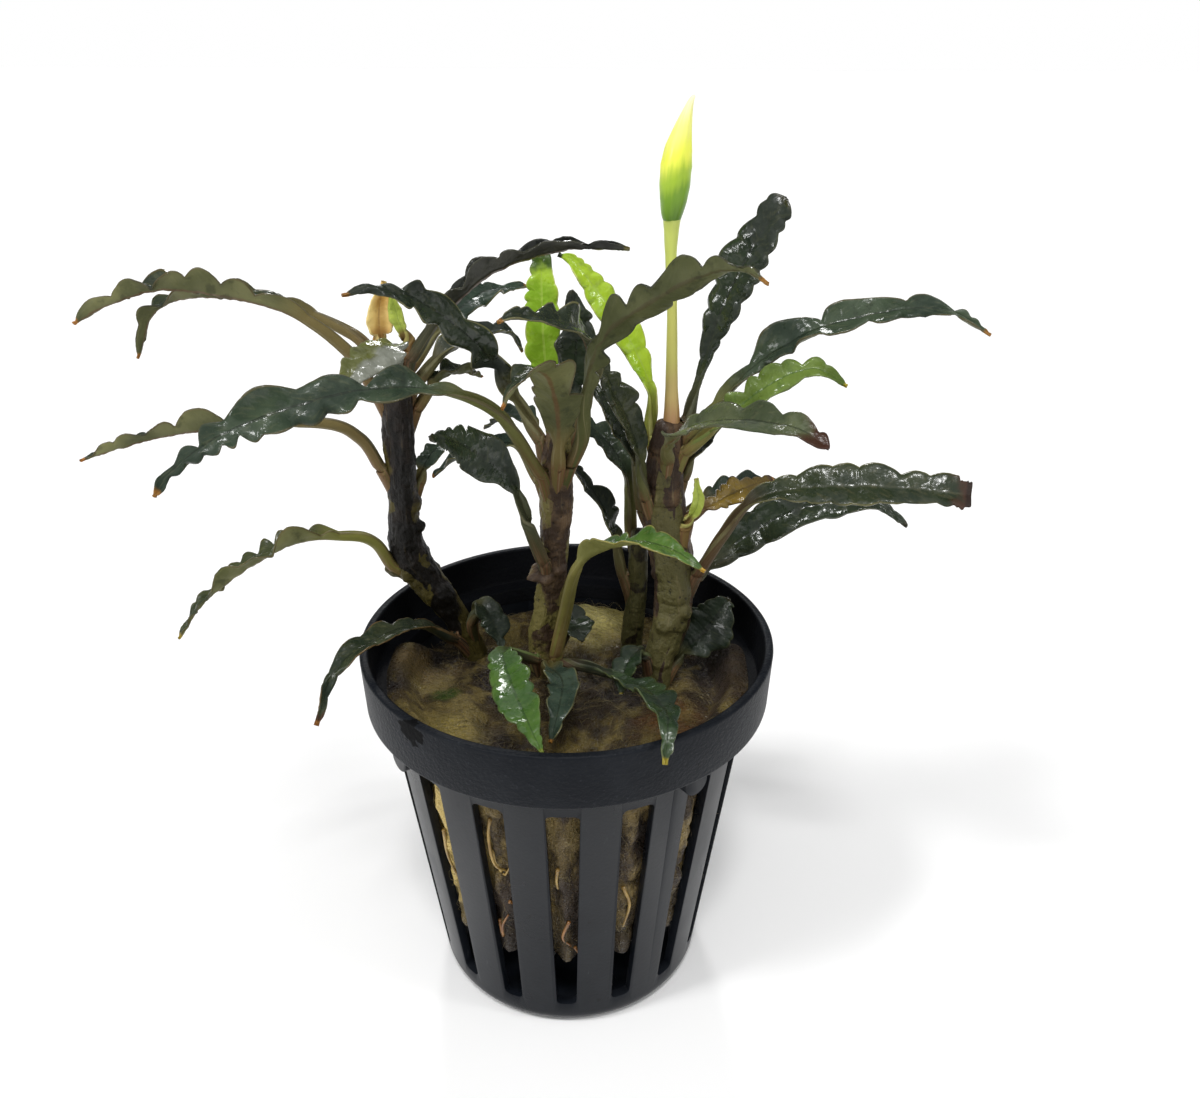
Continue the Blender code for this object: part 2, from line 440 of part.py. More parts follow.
def lug_solids(group):
    """Return the four round-footed lugs that stand out under the rim band."""
    bm = bmesh.new()
    half = LUG_WIDTH / 2
    top = CUP_HEIGHT - BAND_HEIGHT + LIP_CHAMFER
    for angle in LUG_ANGLES:
        foot_arc = arc_points((0.0, top - LUG_HEIGHT + half), half, 0.0, -180.0, LUG_ARC_STEPS)
        outline = [(half, top), *foot_arc, (-half, top)]
        verts = [bm.verts.new((x, -LUG_ROOT, z)) for x, z in outline]
        face = bm.faces.new(verts)
        made = bmesh.ops.extrude_face_region(bm, geom=[face])["geom"]
        moved = [item for item in made if isinstance(item, bmesh.types.BMVert)]
        bmesh.ops.translate(bm, vec=(0.0, LUG_ROOT - LUG_REACH, 0.0), verts=moved)
        turn = Matrix.Rotation(math.radians(angle), 3, "Z")
        bmesh.ops.rotate(bm, cent=(0, 0, 0), matrix=turn, verts=verts + moved)
    bmesh.ops.recalc_face_normals(bm, faces=bm.faces)
    lugs = object_from_bmesh(bm, "lug_solids", group)
    hide_cutter(lugs)
    return lugs


def build_cup(parts, cutters):
    """Build the net cup: a turned wall, lugs joined under its band, and slots cut through it."""
    cup = profile_object(cup_profile(), "net_pot", parts, "cup", CUP_SEGMENTS)
    add_boolean(cup, lug_solids(cutters), "UNION")
    add_boolean(cup, slot_cutters(cutters), "DIFFERENCE")


def wool_height(x, y):
    """Return the height of the lumpy wool surface at a place."""
    seed = Vector(WOOL_SEED_OFFSET)
    lump = noise.noise(Vector((x, y, 0.0)) * WOOL_GRAIN + seed)
    height = WOOL_TOP + WOOL_LUMP * lump
    for mound_x, mound_y, spread, rise in WOOL_MOUNDS:
        distance = math.hypot(x - mound_x, y - mound_y)
        height += rise * math.exp(-((distance / spread) ** 2))
    return height


def build_wool(parts, cutters):
    """Build the wool plug: a tapered cylinder with a lumpy top and a pocket for each stem."""
    bm = bmesh.new()
    foot_radius = wall_radius(WOOL_FOOT) - WALL_THICKNESS - WOOL_CLEARANCE
    top_radius = wall_radius(WOOL_TOP) - WALL_THICKNESS - WOOL_CLEARANCE
    made = bmesh.ops.create_cone(bm, cap_ends=True, cap_tris=False, segments=WOOL_SEGMENTS,
                                 radius1=foot_radius, radius2=top_radius, depth=WOOL_TOP - WOOL_FOOT)
    bmesh.ops.translate(bm, vec=(0.0, 0.0, (WOOL_TOP + WOOL_FOOT) / 2), verts=made["verts"])
    bm.faces.ensure_lookup_table()
    top = max(bm.faces, key=lambda face: face.calc_center_median().z)
    for _ in range(WOOL_RINGS):
        bmesh.ops.inset_region(bm, faces=[top], thickness=top_radius / (WOOL_RINGS + 1), depth=0.0)
    bmesh.ops.poke(bm, faces=[top])
    for vert in bm.verts:
        if vert.co.z > WOOL_TOP - GAP:
            vert.co.z = wool_height(vert.co.x, vert.co.y)
    wool = object_from_bmesh(bm, "wool_plug", parts, "wool")
    for stem in STEMS:
        add_boolean(wool, stem_pocket(stem, cutters), "DIFFERENCE")


def stem_pocket(stem, cutters):
    """Return a cutter that is a stem's foot, wider all round by the gap and open at the top."""
    foot, second, third = stem.stations[:3]
    low = (foot[0], foot[1], foot[2] - GAP, foot[3] + GAP)
    rows = (low, (*second[:3], second[3] + GAP), (*third[:3], third[3] + GAP))
    pocket = tube_mesh(f"{stem.name}_pocket", rows, cutters)
    hide_cutter(pocket)
    return pocket


def tube_mesh(name, stations, group, finish=None):
    """Return a closed round tube through stations of x, y, z and radius, made from a bevelled curve."""
    curve = bpy.data.curves.new(f"{name}_line", "CURVE")
    curve.dimensions = "3D"
    curve.bevel_depth = MM
    curve.bevel_resolution = STEM_SIDES_RESOLUTION
    curve.use_fill_caps = True
    spline = curve.splines.new("POLY")
    spline.points.add(len(stations) - 1)
    for point, (x, y, z, radius) in zip(spline.points, stations):
        point.co = (x * MM, y * MM, z * MM, 1.0)
        point.radius = radius
    line = bpy.data.objects.new(f"{name}_line", curve)
    group.objects.link(line)
    evaluated = line.evaluated_get(bpy.context.evaluated_depsgraph_get())
    mesh = bpy.data.meshes.new_from_object(evaluated)
    mesh.name = name
    bm = bmesh.new()
    bm.from_mesh(mesh)
    bmesh.ops.remove_doubles(bm, verts=bm.verts, dist=MERGE_DISTANCE)
    bm.to_mesh(mesh)
    bm.free()
    mesh.materials.clear()
    mesh.shade_smooth()
    tube = bpy.data.objects.new(name, mesh)
    tube.matrix_world = line.matrix_world.copy()
    group.objects.link(tube)
    bpy.data.objects.remove(line)
    bpy.data.curves.remove(curve)
    if finish:
        mesh.materials.append(principled_material(name, finish))
    return tube


def stem_station(stem_name, height):
    """Return a stem's centre and radius at a height."""
    stem = next(row for row in STEMS if row.name == stem_name)
    rows = np.array(stem.stations)
    x, y, radius = (float(np.interp(height, rows[:, 2], rows[:, column])) for column in (0, 1, 3))
    return Vector((x, y, height)), radius


def leaf_root(leaf):
    """Return the point where a petiole starts, just clear of its stem and on the side that it leaves."""
    centre, radius = stem_station(leaf.stem, leaf.height)
    outward = Vector(leaf.midrib[0]) - centre
    outward.z = 0.0
    return centre + outward.normalized() * (radius + GAP + LEAF_THICKNESS)


def smooth_path(points, count):
    """Return evenly spaced points on the smooth curve through the given points."""
    rows = np.array([tuple(point) for point in points])
    rows = np.vstack([2 * rows[0] - rows[1], rows, 2 * rows[-1] - rows[-2]])
    dense = []
    for index in range(1, len(rows) - 2):
        before, start, end, after = rows[index - 1:index + 3]
        for share in np.linspace(0.0, 1.0, count, endpoint=False):
            dense.append(0.5 * (2 * start + (end - before) * share
                                + (2 * before - 5 * start + 4 * end - after) * share ** 2
                                + (3 * start - before - 3 * end + after) * share ** 3))
    dense = np.array([*dense, rows[-2]])
    travelled = np.concatenate([[0.0], np.cumsum(np.linalg.norm(np.diff(dense, axis=0), axis=1))])
    wanted = np.linspace(0.0, travelled[-1], count)
    return np.stack([np.interp(wanted, travelled, dense[:, axis]) for axis in range(3)], axis=1)


def half_width(leaf, along):
    """Return the half width of a leaf at a share of its length, with its margin's round lobes."""
    if along < leaf.petiole:
        return PETIOLE_HALF_WIDTH
    share = (along - leaf.petiole) / (1.0 - leaf.petiole)
    skew = math.log(0.5) / math.log(leaf.belly)
    spread = math.sin(math.pi * min(1.0, share ** skew)) ** BLADE_FULLNESS
    if share > leaf.belly:
        spread = max(spread, leaf.blunt)
    lobe = abs(math.sin(math.pi * leaf.lobes * share))
    wide = leaf.width / 2 * spread * (1.0 - LOBE_DEPTH * (1.0 - lobe))
    shoulder = PETIOLE_HALF_WIDTH * (1.0 - share)
    return max(wide, shoulder, TIP_HALF_WIDTH)


def leaf_stations(leaf):
    """Return the shares of a leaf's length where it has a row of points: one at each lobe and valley."""
    cells = 2 * leaf.lobes
    blade = [leaf.petiole + (1.0 - leaf.petiole) * step / cells for step in range(cells + 1)]
    return [0.0, leaf.petiole / 2, *blade]


def leaf_point(leaf, path, along, across):
    """Return the place of a leaf point at shares along its midrib and across its blade, from -1 to 1."""
    position = along * (len(path) - 1)
    index = min(int(position), len(path) - 2)
    centre = Vector(path[index]).lerp(Vector(path[index + 1]), position - index)
    low = max(index - 1, 0)
    high = min(index + 2, len(path) - 1)
    tangent = Vector(path[high] - path[low]).normalized()
    face = Vector(leaf.face)
    normal = (face - tangent * face.dot(tangent)).normalized()
    normal = Matrix.Rotation(math.radians(leaf.twist * (along - 0.5)), 3, tangent) @ normal
    side = tangent.cross(normal)
    half = half_width(leaf, along)
    blade = min(1.0, max(0.0, (along - leaf.petiole) / leaf.petiole))
    fold = math.radians(PETIOLE_FOLD + (leaf.fold - PETIOLE_FOLD) * blade)
    share = (along - leaf.petiole) / (1.0 - leaf.petiole)
    ripple = abs(math.sin(math.pi * leaf.lobes * share)) - 0.5
    wave = leaf.frill * blade * ripple * math.sin(math.pi * along)
    lift = abs(across) * (half * math.sin(fold) + wave)
    return centre + side * (across * half * math.cos(fold)) + normal * lift


def build_leaf(leaf, parts):
    """Build one leaf: an open folded surface along its midrib, thickened with Solidify."""
    path = smooth_path((leaf_root(leaf), *leaf.midrib), PATH_SAMPLES)
    stations = leaf_stations(leaf)
    bm = bmesh.new()
    bmesh.ops.create_grid(bm, x_segments=2, y_segments=len(stations) - 1, size=1.0)
    for vert in bm.verts:
        row = round((vert.co.y + 1.0) / 2 * (len(stations) - 1))
        vert.co = leaf_point(leaf, path, stations[row], round(vert.co.x))
    made = object_from_bmesh(bm, leaf.name, parts, leaf.finish, LEAF_SMOOTH_ANGLE)
    solidify = made.modifiers.new("thickness", "SOLIDIFY")
    solidify.thickness = LEAF_THICKNESS * MM
    solidify.offset = 0.0


def main():
    """Build the whole plant in its cup."""
    clear_scene()
    parts = new_collection(PART_NAME)
    cutters = new_collection("cutters")
    cutters.hide_render = True
    build_cup(parts, cutters)
    build_wool(parts, cutters)
    for stem in (*STEMS, STALK, SPATHE):
        tube_mesh(stem.name, stem.stations, parts, stem.finish)
    for leaf in (*LEAVES, CROWN_SHEATH, CROWN_BUD, RIGHT_BUD):
        build_leaf(leaf, parts)


main()
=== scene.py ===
"""Looks of the potted velvet leaf bucephalandra: an aquarium plant in a small slotted net cup.

Every leaf, stem and flower is drawn finely along the same line as its solid. Lengths in the tables and
in the sizes of the classes are millimetres, and a finished mesh is in metres. The front of the plant
faces -Y and +Z is up.
"""

import logging
import math
import random
from dataclasses import dataclass
from enum import Enum
from typing import Callable

import bmesh
import bpy
import numpy as np
from mathutils import Matrix, Vector, noise


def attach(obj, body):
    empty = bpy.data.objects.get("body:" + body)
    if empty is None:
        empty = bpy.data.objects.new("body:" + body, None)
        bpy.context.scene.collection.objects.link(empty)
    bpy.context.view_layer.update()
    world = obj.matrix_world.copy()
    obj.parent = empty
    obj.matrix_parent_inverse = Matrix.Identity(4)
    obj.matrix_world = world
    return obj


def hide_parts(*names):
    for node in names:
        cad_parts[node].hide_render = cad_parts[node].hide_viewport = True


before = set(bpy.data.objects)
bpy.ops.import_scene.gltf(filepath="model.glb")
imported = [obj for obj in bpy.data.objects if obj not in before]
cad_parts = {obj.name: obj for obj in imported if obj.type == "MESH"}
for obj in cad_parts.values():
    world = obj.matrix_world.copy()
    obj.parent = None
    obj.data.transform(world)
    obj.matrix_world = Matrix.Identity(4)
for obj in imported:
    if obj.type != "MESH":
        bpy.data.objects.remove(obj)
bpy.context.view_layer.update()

Colour = tuple[float, float, float]
Point = tuple[float, float, float]
Place = Callable[[float, float], Vector]
Stations = tuple[tuple[float, float, float, float], ...]

MM = 0.001
BODY = "root"
MERGE_DISTANCE = 0.00001
SMOOTH_ANGLE = math.radians(38.0)
LOG = logging.getLogger("bucephalandra")


class Signal:
    """A number socket of a shader node that takes part in sums."""

    def __init__(self, bench: "Bench", socket: bpy.types.NodeSocket) -> None:
        """Keep the bench that the socket's node stands on."""
        self.bench = bench
        self.socket = socket

    def __add__(self, other: "Signal | float") -> "Signal":
        """Return this plus other."""
        return self.bench.sum_node("ADD", self, other)

    def __sub__(self, other: "Signal | float") -> "Signal":
        """Return this less other."""
        return self.bench.sum_node("SUBTRACT", self, other)

    def __rsub__(self, other: float) -> "Signal":
        """Return other less this."""
        return self.bench.sum_node("SUBTRACT", other, self)

    def __mul__(self, other: "Signal | float") -> "Signal":
        """Return this times other."""
        return self.bench.sum_node("MULTIPLY", self, other)

    def __abs__(self) -> "Signal":
        """Return this without its sign."""
        return self.bench.sum_node("ABSOLUTE", self, 0.0)

    __radd__ = __add__
    __rmul__ = __mul__


class Bench:
    """A material in the making, with the node types that this plant's finishes use."""

    def __init__(self, name: str) -> None:
        """Start a material with a Principled shader."""
        self.material = bpy.data.materials.new(name)
        self.material.use_nodes = True
        self.tree = self.material.node_tree
        self.shader = self.tree.nodes["Principled BSDF"]

    def feed(self, socket: bpy.types.NodeSocket, value: object) -> None:
        """Link a signal to a socket, or set the socket's own value.

        Args:
            socket: The input that is fed.
            value: A Signal, a number, a colour or a vector.
        """
        if isinstance(value, Signal):
            self.tree.links.new(value.socket, socket)
        elif isinstance(value, tuple) and len(value) == 3 and socket.type == "RGBA":
            socket.default_value = (*value, 1.0)
        else:
            socket.default_value = value

    def add(self, kind: str, settings: dict | None = None, inputs: dict | None = None,
            output: int | str = 0) -> Signal:
        """Add any node.

        Args:
            kind: The node's type name.
            settings: The node's own properties, set first.
            inputs: Values or signals by socket name or number.
            output: The socket that the result reads.

        Returns:
            The chosen output as a signal.
        """
        node = self.tree.nodes.new(kind)
        for name, value in (settings or {}).items():
            setattr(node, name, value)
        for key, value in (inputs or {}).items():
            self.feed(node.inputs[key], value)
        return Signal(self, node.outputs[output])

    def sum_node(self, operation: str, first: Signal | float, second: Signal | float) -> Signal:
        """Return a Math node's result on two numbers."""
        return self.add("ShaderNodeMath", {"operation": operation}, {0: first, 1: second})

    def place(self) -> Signal:
        """Return the object coordinates."""
        return self.add("ShaderNodeTexCoord", output="Object")

    def unwrapped(self) -> tuple[Signal, Signal]:
        """Return the piece's own two surface coordinates, across and along."""
        coordinates = self.add("ShaderNodeTexCoord", output="UV")
        return self.axis(coordinates, 0), self.axis(coordinates, 1)

    def axis(self, vector: Signal, number: int) -> Signal:
        """Return one number of a vector: 0, 1 or 2 for x, y or z."""
        return self.add("ShaderNodeSeparateXYZ", inputs={0: vector}, output=number)

    def vector(self, x: Signal | float, y: Signal | float, z: Signal | float) -> Signal:
        """Return a vector made of three numbers."""
        return self.add("ShaderNodeCombineXYZ", inputs={0: x, 1: y, 2: z})

    def grain(self, where: Signal, scale: float, detail: float = 2.0, roughness: float = 0.5) -> Signal:
        """Return noise from 0 to 1 with features of 1/scale metres."""
        inputs = {"Vector": where, "Scale": scale, "Detail": detail, "Roughness": roughness}
        return self.add("ShaderNodeTexNoise", inputs=inputs)

    def stretched(self, where: Signal, scale: Point, turn: Point = (0.0, 0.0, 0.0)) -> Signal:
        """Return coordinates that are scaled, and turned by angles in radians."""
        inputs = {"Vector": where, "Rotation": turn, "Scale": scale}
        return self.add("ShaderNodeMapping", {"vector_type": "POINT"}, inputs)

    def vector_math(self, operation: str, first: Signal, second: Point = (0.0, 0.0, 0.0),
                    output: int = 0) -> Signal:
        """Return a Vector Math node's vector, or its number from output 1."""
        return self.add("ShaderNodeVectorMath", {"operation": operation}, {0: first, 1: second}, output)

    def ramp(self, value: Signal, low: float, high: float) -> Signal:
        """Return a soft step from 0 at low to 1 at high, which may also run downwards.

        Args:
            value: The number that is read.
            low: Where the step is 0.
            high: Where the step is 1.

        Returns:
            The step as a signal.
        """
        settings = {"interpolation_type": "SMOOTHSTEP"}
        if low < high:
            inputs = {"Value": value, "From Min": low, "From Max": high}
        else:
            inputs = {"Value": value, "From Min": high, "From Max": low, "To Min": 1.0, "To Max": 0.0}
        return self.add("ShaderNodeMapRange", settings, inputs)

    def blend(self, share: Signal | float, first: Signal | Colour, second: Signal | Colour) -> Signal:
        """Return a colour between two, by a share from 0 to 1."""
        node_inputs = {0: share, 6: first, 7: second}
        return self.add("ShaderNodeMix", {"data_type": "RGBA"}, node_inputs, output=2)

    def relief(self, height: Signal, depth: float) -> None:
        """Feed a bump of a depth in millimetres to the shader's normal."""
        inputs = {"Strength": 1.0, "Distance": depth * MM, "Height": height}
        self.feed(self.shader.inputs["Normal"], self.add("ShaderNodeBump", inputs=inputs))

    def shade(self, **values: object) -> bpy.types.Material:
        """Feed the Principled shader, with names such as base_color, and return the material."""
        for name, value in values.items():
            self.feed(self.shader.inputs[name.replace("_", " ").title().replace("Ior", "IOR")], value)
        return self.material


class LeafSide(Enum):
    """The two faces of a blade."""

    UPPER = "upper"
    LOWER = "lower"


@dataclass(frozen=True)
class LeafFinish:
    """The colours and gloss of one kind of leaf, upper and lower side."""

    name: str
    upper: Colour
    upper_light: Colour
    lower: Colour
    lower_light: Colour
    petiole: Colour = (0.13, 0.11, 0.035)
    tip: Colour = (0.3, 0.14, 0.025)
    margin: Colour = (0.15, 0.14, 0.06)
    midrib: Colour = (0.008, 0.012, 0.007)
    keel: Colour = (0.12, 0.05, 0.02)
    gloss: float = 0.7
    roughness: float = 0.16
    brown: float = 0.0
    brown_colour: Colour = (0.05, 0.022, 0.012)
    # A pale grey sheen painted on one half of the blade.
    half: Colour | None = None
    lower_gloss: float = 0.25
    slot: str = ""
    foot_tint: Colour = (0.17, 0.078, 0.036)
    streak_tint: Colour = (0.3, 0.26, 0.14)
    broad_scale: float = 170.0
    middle_scale: float = 620.0
    fine_scale: float = 2600.0
    vein_count: float = 46.0
    vein_slant: float = 3.4
    dry_roughness: float = 0.62
    relief_depth: float = 0.12

    def material(self, side: LeafSide) -> bpy.types.Material:
        """Make the material of one side.

        Args:
            side: The upper or the lower face.

        Returns:
            A Principled material that reads the blade's own surface coordinates.
        """
        bench = Bench(f"{self.name}_{side.value}")
        where = bench.place()
        across, along = bench.unwrapped()
        out = abs(across * 2.0 - 1.0)
        broad = bench.grain(where, self.broad_scale, 3.0)
        middle = bench.grain(where, self.middle_scale, 3.0, 0.6)
        fine = bench.grain(where, self.fine_scale, 2.0)
        slant = along * self.vein_count - out * self.vein_slant
        veins = bench.grain(bench.vector(across * 5.0, slant, broad * 0.6), 1.0, 3.0, 0.6)
        streaks = bench.grain(bench.vector(across * 38.0, along * 5.0, broad), 1.0, 2.0)
        if side is LeafSide.UPPER:
            colour = bench.blend(bench.ramp(broad, 0.36, 0.66), self.upper, self.upper_light)
            groove = bench.ramp(out, 0.075, 0.03) - bench.ramp(out, 0.03, 0.012) * 0.6
            colour = bench.blend(groove * 0.85, colour, self.midrib)
        else:
            colour = bench.blend(bench.ramp(broad, 0.35, 0.68), self.lower, self.lower_light)
            colour = bench.blend(bench.ramp(out, 0.1, 0.04) * 0.6, colour, self.keel)
        colour = bench.blend(bench.ramp(veins, 0.5, 0.72) * 0.28, colour, self.lower_light)
        colour = bench.blend(bench.ramp(middle, 0.44, 0.3) * 0.4, colour, self.midrib)
        colour = bench.blend(bench.ramp(fine, 0.62, 0.8) * 0.2, colour, self.lower_light)
        petiole = bench.ramp(along, 0.36, 0.2)
        tint = bench.ramp(along, 0.17, 0.02) * bench.ramp(streaks, 0.35, 0.6)
        stalk = bench.blend(tint, self.petiole, self.foot_tint)
        stalk = bench.blend(bench.ramp(streaks, 0.58, 0.7) * 0.4, stalk, self.streak_tint)
        colour = bench.blend(petiole, colour, stalk)
        edge = bench.ramp(out + (middle - 0.5) * 0.06, 0.9, 0.97) * bench.ramp(broad, 0.3, 0.55)
        colour = bench.blend(edge * 0.85, colour, self.margin)
        if self.brown > 0.0:
            ragged = along + (middle - 0.5) * 0.1 + out * 0.03
            burnt = bench.ramp(ragged, 1.0 - self.brown, 1.04 - self.brown * 0.7)
            colour = bench.blend(burnt, colour, self.brown_colour)
        # One half of the blade gets a pale grey as a painted sheen.
        if self.half is not None:
            colour = bench.blend(bench.ramp(across + (middle - 0.5) * 0.4, 0.6, 0.45), colour, self.half)
        tip = bench.ramp(along + fine * 0.01, 0.98, 0.993)
        colour = bench.blend(tip, colour, self.tip)
        wet = bench.ramp(broad + (middle - 0.5) * 0.7, 0.39, 0.52) * (1.0 - petiole * 0.7)
        if side is LeafSide.LOWER:
            wet = wet * self.lower_gloss
        rough = self.dry_roughness - (self.dry_roughness - self.roughness) * wet + fine * 0.05
        bench.relief(fine * 0.3 + veins * 0.35 + middle * 0.75 + streaks * petiole * 0.5, self.relief_depth)
        return bench.shade(base_color=colour, roughness=rough, coat_weight=wet * (self.gloss * 0.25),
                           coat_roughness=0.05, specular_ior_level=0.2 + 0.24 * self.gloss ** 3)


class LeafKind(Enum):
    """The finishes of the leaves, from young bright ones to old golden ones."""

    DARK = LeafFinish(
        "leaf_dark", (0.008, 0.014, 0.0075), (0.024, 0.034, 0.019), (0.042, 0.047, 0.019),
        (0.09, 0.092, 0.04), petiole=(0.1, 0.09, 0.03), gloss=0.9)
    GLOSSY = LeafFinish(
        "leaf_glossy", (0.009, 0.016, 0.008), (0.026, 0.038, 0.02), (0.04, 0.046, 0.018),
        (0.09, 0.095, 0.04), petiole=(0.05, 0.055, 0.02), tip=(0.03, 0.03, 0.014),
        margin=(0.07, 0.075, 0.04), gloss=1, roughness=0.13, slot="leaf_dark")
    SHADE = LeafFinish(
        "leaf_shade", (0.008, 0.014, 0.008), (0.022, 0.033, 0.019), (0.036, 0.042, 0.018),
        (0.07, 0.075, 0.035), petiole=(0.06, 0.06, 0.022), tip=(0.03, 0.03, 0.014),
        margin=(0.06, 0.065, 0.035), gloss=0.45, roughness=0.22, slot="leaf_dark")
    BLACK = LeafFinish(
        "leaf_black", (0.004, 0.006, 0.004), (0.012, 0.015, 0.01), (0.007, 0.008, 0.006),
        (0.03, 0.03, 0.014), petiole=(0.05, 0.05, 0.02), tip=(0.12, 0.1, 0.02),
        margin=(0.03, 0.03, 0.014), gloss=1, lower_gloss=0.6, slot="leaf_dark")
    BLUE = LeafFinish(
        "leaf_blue", (0.022, 0.036, 0.022), (0.055, 0.078, 0.045), (0.06, 0.066, 0.03),
        (0.13, 0.135, 0.07), petiole=(0.13, 0.135, 0.035), margin=(0.1, 0.085, 0.04), gloss=0.6)
    GREY = LeafFinish(
        "leaf_grey", (0.016, 0.03, 0.02), (0.05, 0.075, 0.052), (0.04, 0.055, 0.032), (0.1, 0.115, 0.065),
        gloss=0.4)
    # Its pale grey half is a painted sheen.
    SILVER = LeafFinish(
        "leaf_silver", (0.09, 0.1, 0.022), (0.16, 0.17, 0.05), (0.1, 0.105, 0.035), (0.22, 0.22, 0.1),
        petiole=(0.15, 0.14, 0.04), gloss=0.9, midrib=(0.06, 0.06, 0.03), half=(0.2, 0.21, 0.17))
    OLIVE = LeafFinish(
        "leaf_olive", (0.013, 0.021, 0.011), (0.036, 0.046, 0.024), (0.07, 0.075, 0.025),
        (0.16, 0.16, 0.06), petiole=(0.15, 0.115, 0.035), margin=(0.1, 0.08, 0.03),
        tip=(0.36, 0.15, 0.025), gloss=0.8)
    OLIVE_YELLOW = LeafFinish(
        "leaf_olive_yellow", (0.02, 0.03, 0.011), (0.05, 0.06, 0.024), (0.085, 0.092, 0.027),
        (0.19, 0.19, 0.07), petiole=(0.2, 0.2, 0.04), margin=(0.12, 0.1, 0.035), tip=(0.3, 0.22, 0.025),
        gloss=0.7, slot="leaf_olive")
    OLIVE_GREY = LeafFinish(
        "leaf_olive_grey", (0.05, 0.066, 0.03), (0.12, 0.14, 0.07), (0.08, 0.085, 0.03),
        (0.17, 0.165, 0.08), petiole=(0.14, 0.13, 0.045), margin=(0.09, 0.09, 0.045),
        tip=(0.05, 0.02, 0.012), brown=0.1, gloss=0.5, slot="leaf_olive")
    OLIVE_DARK = LeafFinish(
        "leaf_olive_dark", (0.013, 0.02, 0.01), (0.036, 0.042, 0.018), (0.055, 0.062, 0.02),
        (0.1, 0.105, 0.04), petiole=(0.08, 0.085, 0.026), keel=(0.06, 0.045, 0.018),
        margin=(0.05, 0.05, 0.025), gloss=0.6)
    BRIGHT = LeafFinish(
        "leaf_bright", (0.22, 0.4, 0.009), (0.4, 0.58, 0.035), (0.26, 0.42, 0.015), (0.46, 0.6, 0.09),
        petiole=(0.26, 0.29, 0.045), tip=(0.03, 0.05, 0.012), margin=(0.6, 0.62, 0.2),
        midrib=(0.34, 0.48, 0.07), keel=(0.34, 0.45, 0.08), gloss=0.8)
    BRIGHT_DARK_END = LeafFinish(
        "leaf_bright_dark_end", (0.2, 0.37, 0.009), (0.36, 0.54, 0.035), (0.24, 0.4, 0.015),
        (0.44, 0.58, 0.09), petiole=(0.26, 0.29, 0.045), tip=(0.03, 0.05, 0.012), margin=(0.6, 0.62, 0.2),
        midrib=(0.34, 0.48, 0.07), keel=(0.34, 0.45, 0.08), brown=0.13,
        brown_colour=(0.045, 0.085, 0.012), slot="leaf_bright")
    FRESH = LeafFinish(
        "leaf_fresh", (0.075, 0.12, 0.016), (0.15, 0.22, 0.045), (0.1, 0.15, 0.024), (0.18, 0.28, 0.05),
        petiole=(0.2, 0.18, 0.05), tip=(0.4, 0.32, 0.03), margin=(0.12, 0.16, 0.04),
        midrib=(0.04, 0.09, 0.012), keel=(0.09, 0.09, 0.03))
    MID_GREEN = LeafFinish(
        "leaf_mid_green", (0.03, 0.078, 0.012), (0.08, 0.155, 0.03), (0.06, 0.085, 0.02),
        (0.12, 0.16, 0.05), petiole=(0.03, 0.035, 0.012), tip=(0.14, 0.18, 0.015),
        margin=(0.12, 0.17, 0.05), midrib=(0.018, 0.04, 0.012), gloss=1, roughness=0.12)
    MID_DARK = LeafFinish(
        "leaf_mid_dark", (0.009, 0.021, 0.009), (0.03, 0.055, 0.02), (0.03, 0.042, 0.016),
        (0.07, 0.09, 0.035), petiole=(0.02, 0.026, 0.012), tip=(0.3, 0.24, 0.02),
        margin=(0.08, 0.1, 0.035), gloss=0.9)
    TIP_GREEN = LeafFinish(
        "leaf_tip_green", (0.03, 0.075, 0.012), (0.085, 0.165, 0.03), (0.15, 0.15, 0.035),
        (0.24, 0.24, 0.075), petiole=(0.2, 0.18, 0.045), tip=(0.5, 0.3, 0.03), margin=(0.28, 0.24, 0.06),
        keel=(0.16, 0.15, 0.04), gloss=0.9)
    WORN = LeafFinish(
        "leaf_worn", (0.012, 0.021, 0.011), (0.04, 0.048, 0.024), (0.07, 0.075, 0.03),
        (0.15, 0.15, 0.065), petiole=(0.02, 0.028, 0.016), tip=(0.25, 0.1, 0.02),
        margin=(0.13, 0.08, 0.03), brown=0.05, gloss=0.5)
    OLD = LeafFinish(
        "leaf_old", (0.13, 0.085, 0.012), (0.3, 0.2, 0.035), (0.13, 0.085, 0.018), (0.3, 0.2, 0.05),
        petiole=(0.14, 0.075, 0.02), margin=(0.05, 0.026, 0.01), midrib=(0.07, 0.045, 0.012), gloss=1,
        brown=0.06)
    BROWN_END = LeafFinish(
        "leaf_dark_brown_end", (0.012, 0.021, 0.009), (0.036, 0.046, 0.022), (0.06, 0.058, 0.022),
        (0.13, 0.115, 0.055), petiole=(0.09, 0.06, 0.025), tip=(0.02, 0.01, 0.006),
        midrib=(0.045, 0.05, 0.028), gloss=0.75, brown=0.055)
    SHEATH = LeafFinish(
        "sheath", (0.5, 0.28, 0.06), (0.95, 0.72, 0.28), (0.6, 0.4, 0.13), (0.85, 0.66, 0.28),
        petiole=(0.5, 0.29, 0.09), tip=(0.7, 0.5, 0.15), margin=(0.9, 0.72, 0.3), midrib=(0.4, 0.2, 0.06),
        keel=(0.45, 0.26, 0.09), gloss=0.2, roughness=0.4)
    BUD = LeafFinish(
        "bud", (0.26, 0.34, 0.04), (0.46, 0.55, 0.1), (0.3, 0.36, 0.05), (0.5, 0.55, 0.14),
        petiole=(0.2, 0.13, 0.04), tip=(0.4, 0.4, 0.1), margin=(0.42, 0.42, 0.12),
        midrib=(0.2, 0.26, 0.04), keel=(0.2, 0.2, 0.05), gloss=0.4)


